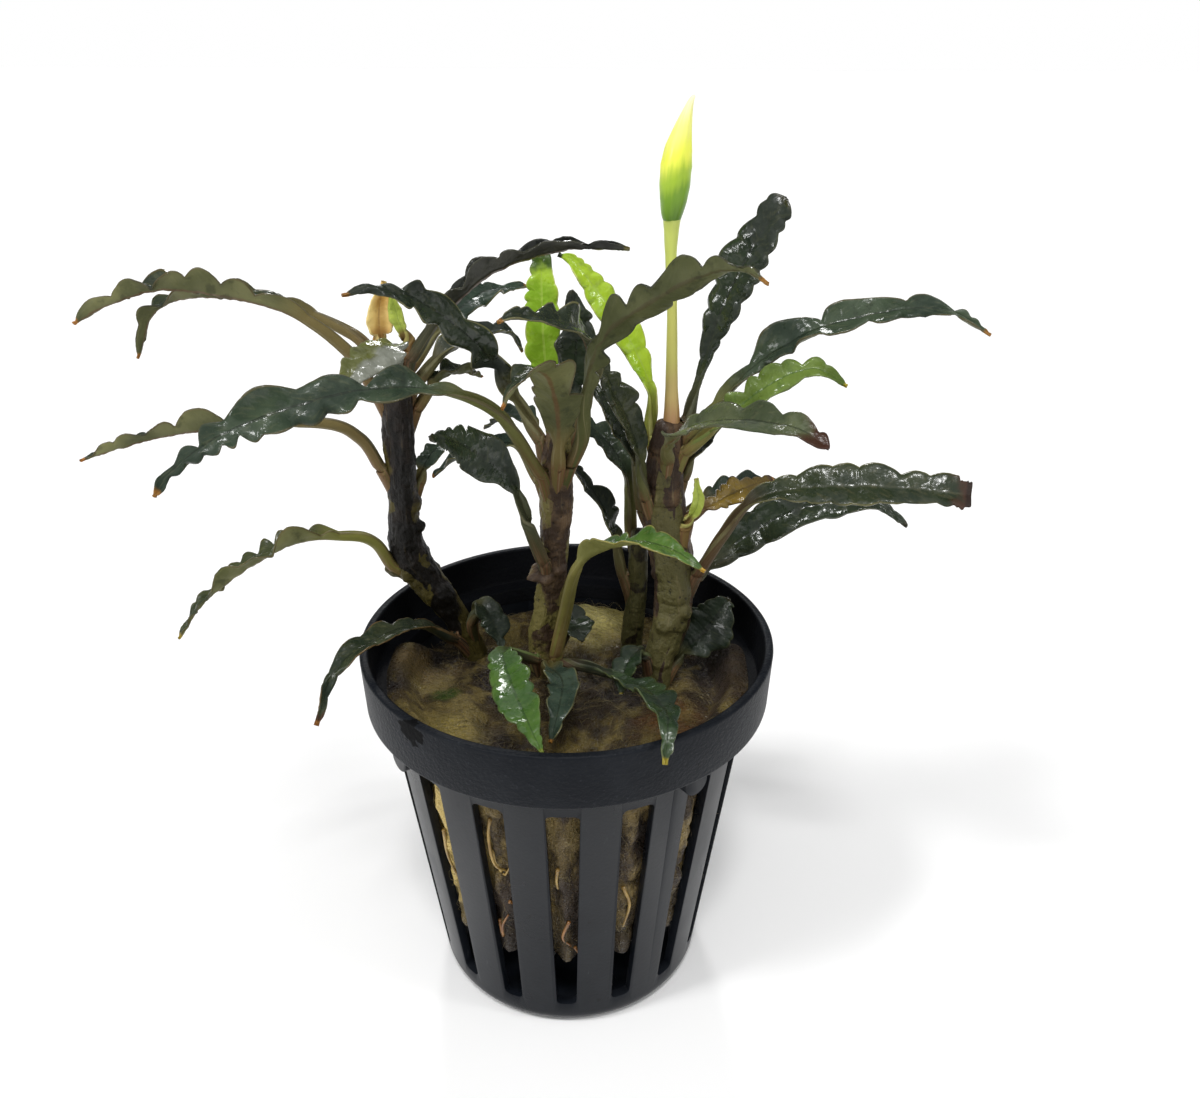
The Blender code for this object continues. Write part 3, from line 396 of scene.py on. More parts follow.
@dataclass(frozen=True)
class BarkFinish:
    """Rough stem skin: dark, with olive patches, purple brown plates and pale wet lines."""

    name: str
    dark: Colour
    brown: Colour
    olive: Colour
    olive_share: float = 0.5
    olive_foot: float = 60.0
    plates: tuple[float, float] = (4.0, 7.0)
    pale_lines: float = 0.35
    line_colour: Colour = (0.26, 0.2, 0.1)
    pit_colour: Colour = (0.006, 0.005, 0.004)
    relief_depth: float = 0.3

    def material(self) -> bpy.types.Material:
        """Return the bark's material."""
        bench = Bench(self.name)
        where = bench.place()
        across, along = bench.unwrapped()
        patches = bench.grain(where, 260.0, 4.0, 0.6)
        fine = bench.grain(where, 1700.0, 4.0, 0.65)
        fibres = bench.grain(bench.vector(across * 30.0, along * 9.0, patches), 1.0, 3.0, 0.6)
        around, rise = self.plates
        spot = bench.vector(across * around + patches * 0.8, along * rise + patches, 0.0)
        plates = bench.add("ShaderNodeTexVoronoi", inputs={"Vector": spot, "Scale": 1.0}, output=1)
        tone = bench.axis(plates, 0)
        colour = bench.blend(bench.ramp(patches + (tone - 0.5) * 0.3, 0.4, 0.6), self.dark, self.brown)
        low = bench.ramp(bench.axis(where, 2), (self.olive_foot + 6.0) * MM, (self.olive_foot - 10.0) * MM)
        mossy = tone + (patches - 0.5) + low * 0.5
        olive = bench.ramp(mossy, 1.15 - self.olive_share, 1.3 - self.olive_share)
        colour = bench.blend(olive * 0.85, colour, self.olive)
        colour = bench.blend(bench.ramp(fibres, 0.58, 0.74) * self.pale_lines, colour, self.line_colour)
        colour = bench.blend(bench.ramp(fine, 0.66, 0.8) * 0.2, colour, self.olive)
        colour = bench.blend(bench.ramp(fine, 0.44, 0.3) * 0.8, colour, self.pit_colour)
        bench.relief(fine * 0.8 + fibres * 0.7 + tone * 0.3, self.relief_depth)
        return bench.shade(base_color=colour, roughness=0.26 + fine * 0.4, specular_ior_level=0.3)


@dataclass(frozen=True)
class MouldedPlastic:
    """Blue black moulded plastic, pebbled on the band and smooth on the wall."""

    name: str = "cup_plastic"
    colour: Colour = (0.006, 0.0075, 0.0105)
    # Lighter bluish patches: partly dust, partly a painted reflection of the surroundings.
    dust_and_sheen: Colour = (0.0115, 0.0135, 0.0172)
    inner_radius: float = 24.5
    band_foot: float = 41.5
    smear_centre: Point = (-16.2, -19.4, 47.2)
    smear_size: float = 1.9
    pit_colour: Colour = (0.002, 0.002, 0.003)
    # Pale bluish colour on the tops of the band's pebbles, painted glints.
    pebble_glint_colour: Colour = (0.05, 0.055, 0.065)
    smear_colour: Colour = (0.001, 0.001, 0.0012)
    scuff_colour: Colour = (0.06, 0.065, 0.07)
    # Near black on the inside of the rim and the ledge, above the band's foot, as painted shade.
    inside_shade_colour: Colour = (0.0015, 0.0018, 0.003)
    relief_depth: float = 0.13

    def material(self) -> bpy.types.Material:
        """Return the cup's material."""
        bench = Bench(self.name)
        where = bench.place()
        band = bench.ramp(bench.axis(where, 2), self.band_foot * MM, (self.band_foot + 0.15) * MM)
        pebbles = bench.grain(where, 2100.0, 3.0, 0.6)
        haze = bench.grain(where, 120.0, 4.0, 0.6)
        specks = bench.grain(where, 900.0, 2.0)
        drips = bench.grain(bench.stretched(where, (1.0, 1.0, 0.12)), 2400.0, 3.0, 0.6)
        centred = bench.vector_math("ADD", where, tuple(-value * MM for value in self.smear_centre))
        leaning = bench.stretched(centred, (1.0, 0.5, 1.3), (0.0, -0.35, 0.0))
        distance = bench.vector_math("LENGTH", leaning, output=1)
        ragged = distance + (specks - 0.5) * (4.0 * MM)
        smear = bench.ramp(ragged, self.smear_size * MM, self.smear_size * 0.85 * MM)
        # Haze patches turn lighter and bluish: partly dust, partly a painted reflection.
        colour = bench.blend(bench.ramp(haze, 0.35, 0.7), self.colour, self.dust_and_sheen)
        colour = bench.blend(bench.ramp(specks, 0.68, 0.72) * 0.6, colour, self.pit_colour)
        # The tops of the band's pebbles get a pale bluish colour as painted glints.
        colour = bench.blend(bench.ramp(pebbles, 0.62, 0.74) * band * 0.35, colour, self.pebble_glint_colour)
        colour = bench.blend(smear * 0.95, colour, self.smear_colour)
        scuffs = bench.ramp(drips, 0.66, 0.72) * bench.ramp(haze, 0.5, 0.6)
        colour = bench.blend(scuffs * 0.3, colour, self.scuff_colour)
        flat = bench.vector_math("MULTIPLY", where, (1.0, 1.0, 0.0))
        radius = bench.vector_math("LENGTH", flat, output=1)
        # The inside of the rim and the ledge get a darker colour as painted shade.
        inner = bench.ramp(radius, self.inner_radius * MM, (self.inner_radius - 0.2) * MM) * band
        colour = bench.blend(inner * 0.85, colour, self.inside_shade_colour)
        rough = 0.3 + band * 0.14 + (haze - 0.5) * 0.2 + smear * 0.3 + inner * 0.2
        bench.relief(pebbles * (0.08 + band * 0.92), self.relief_depth)
        return bench.shade(base_color=colour, roughness=rough, specular_ior_level=0.11)


@dataclass(frozen=True)
class WetWool:
    """Matted mineral wool, ochre to brown, wet, with a green patch of algae."""

    name: str = "wet_wool"
    pale: Colour = (0.2, 0.15, 0.045)
    ochre: Colour = (0.075, 0.05, 0.017)
    dark: Colour = (0.012, 0.006, 0.003)
    spots: tuple = (((2.0, -3.0, 41.0), 9.0, (0.02, 0.011, 0.006), 0.8),
                    ((8.0, 4.0, 41.0), 7.0, (0.01, 0.006, 0.004), 0.9),
                    # The pale mound at the back is pale wool, made much paler still as painted light where
                    # the leaves shade it.
                    ((3.0, 15.0, 43.5), 8.0, (0.72, 0.62, 0.2), 0.9),
                    ((12.5, -9.0, 42.0), 6.0, (0.24, 0.115, 0.035), 0.75),
                    ((20.5, -1.5, 43.5), 9.5, (0.05, 0.028, 0.014), 0.9),
                    ((-13.5, -11.0, 42.0), 5.5, (0.34, 0.265, 0.07), 0.8),
                    ((-18.5, 2.0, 43.0), 4.5, (0.24, 0.16, 0.05), 0.75),
                    ((-15.2, -2.4, 42.2), 2.8, (0.06, 0.13, 0.008), 0.95))
    side_top: float = 39.4
    streak_colour: Colour = (0.3, 0.215, 0.075)
    # Pale yellow on the wool in the left slots, painted light.
    left_light_colour: Colour = (0.7, 0.52, 0.17)
    left_light_span: tuple[float, float] = (-7.0, -15.0)
    hollow_colour: Colour = (0.035, 0.02, 0.009)
    # Dark colour in the creases of the wool's folds, painted shade.
    fold_shade_colour: Colour = (0.03, 0.018, 0.008)
    deep_colour: Colour = (0.016, 0.009, 0.004)
    deep_span: tuple[float, float] = (23.0, 16.0)
    relief_depth: float = 0.55

    def material(self) -> bpy.types.Material:
        """Return the wool's material."""
        bench = Bench(self.name)
        where = bench.place()
        height = bench.axis(where, 2)
        clumps = bench.grain(where, 95.0, 3.0, 0.55)
        second = bench.grain(where, 300.0, 3.0, 0.55)
        fine = bench.grain(where, 2400.0, 3.0, 0.7)
        fibres = bench.grain(bench.stretched(where, (1.0, 5.0, 2.0), (0.5, 0.3, 0.7)), 800.0, 4.0, 0.7)
        folds = bench.grain(bench.stretched(where, (1.0, 1.0, 0.13)), 420.0, 4.0, 0.6)
        wraps = bench.grain(bench.stretched(where, (1.0, 1.0, 0.4), (0.0, 0.5, 0.3)), 230.0, 4.0, 0.6)
        colour = bench.blend(bench.ramp(clumps, 0.38, 0.58), self.dark, self.ochre)
        colour = bench.blend(bench.ramp(second + (clumps - 0.5) * 0.6, 0.46, 0.66), colour, self.pale)
        colour = bench.blend(bench.ramp(fibres, 0.58, 0.75) * 0.4, colour, self.pale)
        colour = bench.blend(bench.ramp(fibres, 0.42, 0.25) * 0.6, colour, self.dark)
        side = bench.ramp(height, self.side_top * MM, (self.side_top - 1.5) * MM)
        side_colour = bench.blend(bench.ramp(wraps, 0.42, 0.6), self.hollow_colour, self.streak_colour)
        # The creases of the folds in the slots get a darker colour as painted shade.
        side_colour = bench.blend(bench.ramp(folds, 0.55, 0.35) * 0.6, side_colour, self.fold_shade_colour)
        for place, size, tint, share in self.spots:
            distance = bench.vector_math("DISTANCE", where, tuple(value * MM for value in place), output=1)
            inside = bench.ramp(distance + (second - 0.5) * (size * 0.9 * MM), size * MM, size * 0.3 * MM)
            tinted = bench.blend(bench.ramp(fibres, 0.35, 0.65), tuple(0.5 * value for value in tint), tint)
            colour = bench.blend(inside * share, colour, tinted)
        # The wool in the left slots gets pale yellow as painted light.
        bright = bench.ramp(bench.axis(where, 0), *(value * MM for value in self.left_light_span))
        side_colour = bench.blend(bench.ramp(wraps + bright * 0.12, 0.42, 0.56) * bright, side_colour,
                                  self.left_light_colour)
        ragged = height + (second - 0.5) * (16.0 * MM)
        deep = bench.ramp(ragged, *(value * MM for value in self.deep_span))
        side_colour = bench.blend(deep * 0.8, side_colour, self.deep_colour)
        colour = bench.blend(side, colour, side_colour)
        bench.relief(fibres * 0.7 + second * 0.5 + fine + folds * side * 0.8, self.relief_depth)
        rough = 0.5 - bench.ramp(fine, 0.48, 0.6) * 0.36
        return bench.shade(base_color=colour, roughness=rough, specular_ior_level=0.42)


@dataclass(frozen=True)
class GradedSkin:
    """A smooth skin whose colour runs through stops by height, as on the stalk and the spathe."""

    name: str
    stops: tuple[tuple[float, Colour], ...]
    roughness: float = 0.35
    streak_colour: Colour = (0.5, 0.5, 0.2)
    streak_share: float = 0.15
    lean: float = 0.0
    lean_centre: float = 12.3

    def material(self) -> bpy.types.Material:
        """Return the skin's material, with stops of height in millimetres and colour."""
        bench = Bench(self.name)
        where = bench.place()
        across, along = bench.unwrapped()
        streaks = bench.grain(bench.vector(across * 24.0, along * 3.0, 0.0), 1.0, 2.0)
        leaning = (bench.axis(where, 0) - self.lean_centre * MM) * self.lean
        height = bench.axis(where, 2) + leaning + (streaks - 0.5) * (2.0 * MM)
        fine = bench.grain(where, 1400.0, 2.0)
        colour: Signal | Colour = self.stops[0][1]
        for (low, _), (high, tint) in zip(self.stops, self.stops[1:]):
            colour = bench.blend(bench.ramp(height, low * MM, high * MM), colour, tint)
        colour = bench.blend(bench.ramp(streaks, 0.5, 0.75) * self.streak_share, colour, self.streak_colour)
        bench.relief(streaks * 0.7 + fine * 0.3, 0.05)
        return bench.shade(base_color=colour, roughness=self.roughness + fine * 0.1, coat_weight=0.15,
                           coat_roughness=0.2)


@dataclass(frozen=True)
class StrandFinish:
    """Fine fibres and roots: one colour that varies from strand to strand."""

    name: str
    pale: Colour
    dark: Colour
    roughness: float = 0.35

    def material(self) -> bpy.types.Material:
        """Return the strands' material."""
        bench = Bench(self.name)
        where = bench.place()
        broad = bench.grain(where, 500.0, 3.0)
        fine = bench.grain(where, 3000.0, 2.0)
        colour = bench.blend(bench.ramp(broad, 0.35, 0.65), self.dark, self.pale)
        colour = bench.blend(bench.ramp(fine, 0.55, 0.75) * 0.35, colour, self.pale)
        return bench.shade(base_color=colour, roughness=self.roughness + fine * 0.15, coat_weight=0.3,
                           coat_roughness=0.1)


def drape_grid(name: str, across: int, along: int, place: Place) -> bpy.types.Object:
    """Make a mesh from a grid whose points are moved to their places.

    Args:
        name: The piece's name.
        across: Cells across the grid.
        along: Cells along the grid.
        place: Gives a point in millimetres from shares from 0 to 1 across and along.

    Returns:
        The object, with seams and poles merged and its own surface coordinates.
    """
    bm = bmesh.new()
    bm.loops.layers.uv.new("surface")
    bmesh.ops.create_grid(bm, x_segments=across, y_segments=along, size=0.5, calc_uvs=True)
    for vert in bm.verts:
        vert.co = place(vert.co.x + 0.5, vert.co.y + 0.5) * MM
    bmesh.ops.remove_doubles(bm, verts=bm.verts, dist=MERGE_DISTANCE * 0.1)
    return object_from(bm, name)


def object_from(bm: bmesh.types.BMesh, name: str) -> bpy.types.Object:
    """Turn a bmesh into a smooth shaded object and free the bmesh.

    Args:
        bm: The finished bmesh, in metres.
        name: The piece's name.

    Returns:
        The new object, linked to the scene.
    """
    mesh = bpy.data.meshes.new(name)
    bm.to_mesh(mesh)
    bm.free()
    mesh.shade_smooth()
    made = bpy.data.objects.new(name, mesh)
    bpy.context.scene.collection.objects.link(made)
    return made


def finish_piece(piece: bpy.types.Object, materials: list[bpy.types.Material], slot: str,
                 *nodes: str) -> bpy.types.Object:
    """Dress a piece, tie it to the plant's body and hide the solids that it stands for.

    Args:
        piece: The finished object.
        materials: Its materials, in the order of its faces' indices.
        slot: Not used.
        nodes: The CAD nodes that it replaces.

    Returns:
        The same object.
    """
    piece.data.materials.clear()
    for material in materials:
        piece.data.materials.append(material)
    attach(piece, BODY)
    if nodes:
        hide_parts(*nodes)
    LOG.info("%s: %d faces", piece.name, len(piece.data.polygons))
    return piece


def smooth_path(points: list[Vector], count: int) -> np.ndarray:
    """Space points evenly on the smooth curve through the given ones.

    Args:
        points: The points that the curve passes through.
        count: How many points come back.

    Returns:
        An array of count rows of x, y and z.
    """
    rows = np.array([tuple(point) for point in points])
    rows = np.vstack([2 * rows[0] - rows[1], rows, 2 * rows[-1] - rows[-2]])
    dense = []
    for index in range(1, len(rows) - 2):
        before, start, end, after = rows[index - 1:index + 3]
        for share in np.linspace(0.0, 1.0, 40, endpoint=False):
            dense.append(0.5 * (2 * start + (end - before) * share
                                + (2 * before - 5 * start + 4 * end - after) * share ** 2
                                + (3 * start - before - 3 * end + after) * share ** 3))
    dense = np.array([*dense, rows[-2]])
    travelled = np.concatenate([[0.0], np.cumsum(np.linalg.norm(np.diff(dense, axis=0), axis=1))])
    wanted = np.linspace(0.0, travelled[-1], count)
    return np.stack([np.interp(wanted, travelled, dense[:, axis]) for axis in range(3)], axis=1)


def wobble(value: float, seed: float, scale: float = 1.0) -> float:
    """Return smooth noise from about -1 to 1 along one number."""
    return noise.noise(Vector((value * scale, seed * 3.7, seed * 1.3)))


def soft_step(value: float) -> float:
    """Return a smooth rise from 0 to 1 over a value from 0 to 1."""
    value = min(1.0, max(0.0, value))
    return value * value * (3.0 - 2.0 * value)


class Path:
    """A smooth centreline with a direction at each share of its length."""

    def __init__(self, points: list[Vector], count: int = 240) -> None:
        """Fit the line through points in millimetres."""
        self.rows = smooth_path(points, count)
        self.length = float(np.linalg.norm(np.diff(self.rows, axis=0), axis=1).sum())

    def at(self, share: float) -> Vector:
        """Return the point at a share of the length."""
        position = min(1.0, max(0.0, share)) * (len(self.rows) - 1)
        index = min(int(position), len(self.rows) - 2)
        return Vector(self.rows[index]).lerp(Vector(self.rows[index + 1]), position - index)

    def heading(self, share: float, reach: float = 0.02) -> Vector:
        """Return the direction at a share of the length."""
        return (self.at(share + reach) - self.at(share - reach)).normalized()


class TubeLine(Path):
    """The centreline of a round tube through stations of x, y, z and radius."""

    def __init__(self, stations: Stations) -> None:
        """Fit the line through the stations, in millimetres."""
        super().__init__([Vector(row[:3]) for row in stations])
        self.heights = [row[2] for row in stations]
        self.radii = [row[3] for row in stations]
        self.rings: dict[float, tuple[Vector, Vector, Vector, float]] = {}

    def ring(self, share: float) -> tuple[Vector, Vector, Vector, float]:
        """Return the centre, the two directions across and the radius at a share of the length.

        Args:
            share: The share of the length.

        Returns:
            The centre, two directions across and the radius, in millimetres.
        """
        if share not in self.rings:
            centre, heading = self.at(share), self.heading(share)
            side = heading.cross(Vector((0.0, 1.0, 0.0))).normalized()
            radius = float(np.interp(centre.z, self.heights, self.radii))
            self.rings[share] = (centre, side, heading.cross(side), radius)
        return self.rings[share]


def rounded_end(share: float, reach: float) -> float:
    """Return the radius share of a rod whose ends are round over a share of its length."""
    inside = min(1.0, min(share, 1.0 - share) / reach)
    return math.sqrt(max(0.0, 1.0 - (1.0 - inside) ** 2))


@dataclass
class WoodyStem:
    """A rough woody stem through stations of x, y, z and radius, from its foot to its top.

    knobs are bumps with their height, angle, rise and spread, and sheath_rise is how far the old leaf
    bases stand out. Angle 0 looks to -X and 90 to the front.
    """

    name: str
    stations: Stations
    bark: BarkFinish
    knobs: Stations = ()
    sheath_gap: float = 3.2
    sheath_rise: float = 0.16
    lump: float = 0.1
    flake: float = 0.1
    seed: float = 1.0
    around: int = 84
    along: int = 300
    end_reach: float = 0.02

    def centre(self, height: float) -> tuple[Vector, float]:
        """Return the stem's centre and radius at a height in millimetres.

        Args:
            height: The height, in millimetres.

        Returns:
            The centre and the radius.
        """
        rows = np.array(self.stations)
        x, y, radius = (float(np.interp(height, rows[:, 2], rows[:, column])) for column in (0, 1, 3))
        return Vector((x, y, height)), radius

    def old_bases(self, length: float) -> list[tuple[float, float, float, float]]:
        """Scatter the bases of old leaves up the stem.

        Args:
            length: The stem's length, in millimetres.

        Returns:
            The foot, top, angle and half angle of each base.
        """
        rng = random.Random(self.seed)
        bases = []
        foot, angle = -2.0, rng.uniform(0.0, math.tau)
        while foot < length:
            bases.append((foot, foot + rng.uniform(6.0, 13.0), angle, rng.uniform(0.7, 1.4)))
            foot += self.sheath_gap * rng.uniform(0.6, 1.5)
            angle += math.radians(137.5) + rng.uniform(-0.4, 0.4)
        return bases

    def skin(self, angle: float, travelled: float, height: float, radius: float, bases: list) -> float:
        """Return the bark's own radius at an angle and a distance along the stem.

        Args:
            angle: The angle round the stem, in radians.
            travelled: The distance from the foot, in millimetres.
            height: The height there.
            radius: The stem's plain radius there.
            bases: The old leaf bases.

        Returns:
            The radius with lumps, flakes, leaf bases and knobs.
        """
        spot = Vector((math.cos(angle) * 1.6, math.sin(angle) * 1.6, travelled * 0.4 + self.seed * 9.0))
        lumps = noise.noise(spot) * self.lump + noise.noise(spot * 2.3) * self.lump * 0.6
        flakes = noise.turbulence(spot * 2.6, 4, True) * self.flake
        made = radius * (0.99 + lumps + flakes)
        for foot, top, middle, half in bases:
            if not foot - 0.5 < travelled < top:
                continue
            share = (travelled - foot) / (top - foot)
            slant = 0.12 * math.cos(angle - middle)
            rise = soft_step((share + slant) * 7.0)
            width = half * (1.0 - 0.7 * max(0.0, share) ** 1.5)
            gap = abs(math.remainder(angle - middle + 0.12 * noise.noise(spot * 1.5), math.tau)) / width
            if gap < 1.0:
                made += self.sheath_rise * rise * (1.0 - gap ** 6) * (1.0 - max(0.0, share) ** 3)
        for knob_height, knob_angle, size, spread in self.knobs:
            turned = math.remainder(angle - math.radians(knob_angle), math.tau) * radius
            gap = math.hypot(height - knob_height, turned) / spread
            made += size * math.exp(-(gap ** 4)) * (1.0 + 0.4 * noise.noise(spot * 3.0))
        return made

    def build(self) -> bpy.types.Object:
        """Build the stem as a rough tube that closes at both ends."""
        line = TubeLine(self.stations)
        bases = self.old_bases(line.length)

        def place(across: float, share: float) -> Vector:
            """Return the point at shares across and along the grid.

            Args:
                across: The share of a turn round the line.
                share: The share of the line.

            Returns:
                The point in millimetres.
            """
            centre, side, front, radius = line.ring(share)
            angle = math.tau * across
            radius = self.skin(angle, share * line.length, centre.z, radius, bases)
            radius *= rounded_end(share, self.end_reach)
            return centre + (side * math.cos(angle) + front * math.sin(angle)) * radius

        return drape_grid(f"{self.name}_bark", self.around, self.along, place)

    def dress(self) -> bpy.types.Object:
        """Build the stem and give it its bark."""
        return finish_piece(self.build(), [self.bark.material()], "bark", self.name)


@dataclass
class Leaf:
    """A leaf: where it leaves its stem, the points that its midrib passes through, and its blade.

    face is the way the upper side looks, fold the lift of each half in degrees, twist the turn from
    base to tip in degrees, petiole the share of the line without a blade, belly the share of the blade
    where it is widest, and blunt the share of its width left at the tip. lobes are those of the two
    margins, as numbers or as the shares at which the valleys lie, and one number gives the second
    margin one more. They start at the share smooth, and curl rolls the margins down. stem is given
    only where the leaf grows from another stem than its name says.
    """

    name: str
    height: float
    midrib: tuple[Point, ...]
    width: float
    face: Point
    fold: float = 25.0
    twist: float = 0.0
    lobes: int | tuple = 6
    petiole: float = 0.2
    frill: float = 0.35
    kind: LeafKind = LeafKind.DARK
    belly: float = 0.4
    blunt: float = 0.1
    stem: str = ""
    curl: float = 0.12
    lobe_depth: float = 0.3
    torn: bool = False
    smooth: float = 0.0
    crumple: float = 0.0
    roundness: float = 0.75

    def stem_name(self) -> str:
        """Return the name of the stem that the leaf grows from."""
        return self.stem or self.name.split("_")[0] + "_stem"

    def margin_lobes(self) -> tuple:
        """Return the lobes of the first and the second margin."""
        return self.lobes if isinstance(self.lobes, tuple) else (self.lobes, self.lobes + 1)


class Margin:
    """One margin of a blade: round lobes of unequal length, depth and rise, with narrow valleys."""

    wave_length: float = 3.2

    def __init__(self, lobes: int | tuple[float, ...], seed: float, leaf: "Leaf", length: float) -> None:
        """Lay out the lobes.

        Args:
            lobes: Their number, or the shares of the blade at which its valleys lie.
            seed: The margin's own seed.
            leaf: The leaf, which says where the lobes start and how round they are.
            length: The blade's length, in millimetres.
        """
        self.roundness = leaf.roundness
        rng = random.Random(round(seed * 100))
        if isinstance(lobes, tuple):
            self.starts = np.array(lobes)
        else:
            lengths = [rng.uniform(0.4, 1.5) * (1.3 - 0.6 * index / lobes) for index in range(lobes)]
            starts = np.concatenate([[0.0], np.cumsum(lengths)]) / sum(lengths)
            self.starts = leaf.smooth + (1.0 - leaf.smooth) * starts
        count = len(self.starts) - 1
        steps = np.diff(self.starts) * length
        self.reaches = [min(1.2, max(0.2, step / self.wave_length)) for step in steps]
        self.depths = [rng.uniform(0.35, 1.3) for _ in range(count + 1)]
        self.rises = [rng.uniform(0.3, 1.4) for _ in range(count)]
        self.leans = [rng.uniform(0.75, 1.4) for _ in range(count)]
        slow = (rng.uniform(2.0, 3.0), rng.random(), 0.6)
        self.swings = [slow, (rng.uniform(3.6, 5.2), rng.random(), 0.4)]

    def swing(self, share: float) -> float:
        """Return the slow rise and fall of the margin from -1 to 1."""
        waves = (size * math.sin(math.tau * (turns * share + phase)) for turns, phase, size in self.swings)
        return sum(waves)

    def at(self, share: float) -> tuple[float, float, float]:
        """Return the lobe's height from 0 to 1, the valleys' depth and the lobe's rise at a share."""
        if share <= self.starts[0]:
            return 1.0, 0.3, 0.3
        index = min(int(np.searchsorted(self.starts, share, side="right")) - 1, len(self.rises) - 1)
        start, end = self.starts[index], self.starts[index + 1]
        local = min(1.0, (share - start) / (end - start))
        lobe = math.sin(math.pi * local ** self.leans[index]) ** self.roundness
        depth = self.depths[index] + (self.depths[index + 1] - self.depths[index]) * local
        return lobe, depth, self.rises[index] * self.reaches[index]


@dataclass
class Rib:
    """What is the same across one row of a leaf: its centre, directions and the two half widths."""

    centre: Vector
    side: Vector
    normal: Vector
    blade: float
    share: float
    halves: tuple[float, float]
    waves: tuple[float, float]
    domes: tuple[float, float]
    fold: float
    length: float


@dataclass
class LeafMaker:
    """Builds leaves as thin folded sheets with lobed, frilled margins and a thicker midrib."""

    across: int = 18
    along: int = 210
    sheath_rows: float = 0.07
    petiole_rows: float = 0.2
    thickness: float = 1.0
    blade_thickness: float = 0.3
    margin_thickness: float = 0.16
    petiole_half_width: float = 0.54
    petiole_fold: float = 50.0
    sheath_half_width: float = 1.05
    sheath_length: float = 5.5
    tip_half_width: float = 0.12
    fullness: float = 0.5
    base_fullness: float = 0.8
    frill_gain: float = 3.8
    dome_gain: float = 0.08
    tip_share: float = 0.07
    point: float = 0.5
    pucker: float = 0.12
    fine_pucker: float = 0.05
    sheath_fold: float = 62.0
    sheath_reach: float = 0.93

    def line(self, leaf: Leaf, stem: WoodyStem) -> tuple[Path, Path, Vector]:
        """Return the leaf's own line, the line of its clasping foot and the way it leaves the stem.

        Args:
            leaf: The leaf.
            stem: The stem that it grows from.

        Returns:
            The path of petiole and midrib, the path of the sheath below it, and the outward direction.
        """
        centre, radius = stem.centre(leaf.height)
        outward = Vector(leaf.midrib[0]) - centre
        outward.z = 0.0
        outward.normalize()
        root = centre + outward * (radius + 0.5)
        low_centre, low_radius = stem.centre(leaf.height - self.sheath_length)
        mid_centre, mid_radius = stem.centre(leaf.height - self.sheath_length * 0.45)
        low = low_centre + outward * (low_radius * 0.6)
        middle = mid_centre + outward * (mid_radius * 0.96)
        foot = Path([low, middle, root, root + (Vector(leaf.midrib[0]) - root) * 0.2], 80)
        return Path([root, *(Vector(point) for point in leaf.midrib)]), foot, outward

    def half_width(self, leaf: Leaf, share: float, margin: Margin,
                   path_length: float) -> tuple[float, float, float]:
        """Return the half width of one side at a share of the blade, its wave and its dome.

        Args:
            leaf: The leaf.
            share: The share of the blade from its base to its tip.
            margin: The side's lobes.
            path_length: The length of the leaf's line, in millimetres.

        Returns:
            The half width, the margin's lift and the dome's lift, in millimetres.
        """
        skew = math.log(0.5) / math.log(leaf.belly)
        fullness = self.base_fullness if share < leaf.belly else self.fullness
        spread = math.sin(math.pi * min(1.0, share ** skew)) ** fullness
        if share > leaf.belly:
            spread = max(spread * (1.0 - self.point * (1.0 - leaf.blunt) * soft_step((share - 0.6) / 0.4)),
                         leaf.blunt)
        if share > 1.0 - self.tip_share and not leaf.torn:
            inside = (share - 1.0 + self.tip_share) / self.tip_share
            spread *= math.sqrt(max(0.0, 1.0 - inside ** 2))
        lobe, depth, rise = margin.at(share)
        swing = margin.swing(share)
        wide = leaf.width / 2 * spread * (1.04 + 0.09 * swing - leaf.lobe_depth * depth * (1.0 - lobe))
        if leaf.torn and share > 0.95:
            wide *= 0.85 + 0.3 * wobble(share, margin.depths[0], 90.0)
        shoulder = self.petiole_half_width * (1.0 - share)
        envelope = math.sin(math.pi * min(1.0, 0.1 + share * 0.86)) ** 0.5
        swell = 0.5 * swing * min(1.0, path_length / 24.0)
        wave = leaf.frill * self.frill_gain * envelope * (0.6 * lobe * rise - 0.3 + swell)
        dome = self.dome_gain * lobe * rise * envelope * spread
        return max(wide, shoulder, self.tip_half_width), wave, dome

    def rib(self, leaf: Leaf, path: Path, outward: Vector, along: float, margins: tuple) -> Rib:
        """Work out one row of petiole or blade.

        Args:
            leaf: The leaf.
            path: Its line.
            outward: The way it leaves its stem.
            along: The share of the line.
            margins: The lobes of its two sides.

        Returns:
            The row.
        """
        tangent = path.heading(along)
        open_share = soft_step(along / leaf.petiole * 0.9)
        face = Vector(leaf.face).normalized() * open_share - outward * (1.0 - open_share)
        normal = (face - tangent * face.dot(tangent)).normalized()
        normal = Matrix.Rotation(math.radians(leaf.twist * (along - 0.5)), 3, tangent) @ normal
        blade = soft_step((along - leaf.petiole) / leaf.petiole)
        share = max(0.0, (along - leaf.petiole) / (1.0 - leaf.petiole))
        sides = [self.half_width(leaf, share, margin, path.length) for margin in margins]
        if share <= 0.0:
            sides = [(self.petiole_half_width, 0.0, 0.0)] * 2
        halves, waves, domes = zip(*sides)
        fold = math.radians(self.petiole_fold + (leaf.fold - self.petiole_fold) * blade)
        return Rib(path.at(along), tangent.cross(normal), normal, blade, share, halves, waves, domes, fold,
                   path.length)

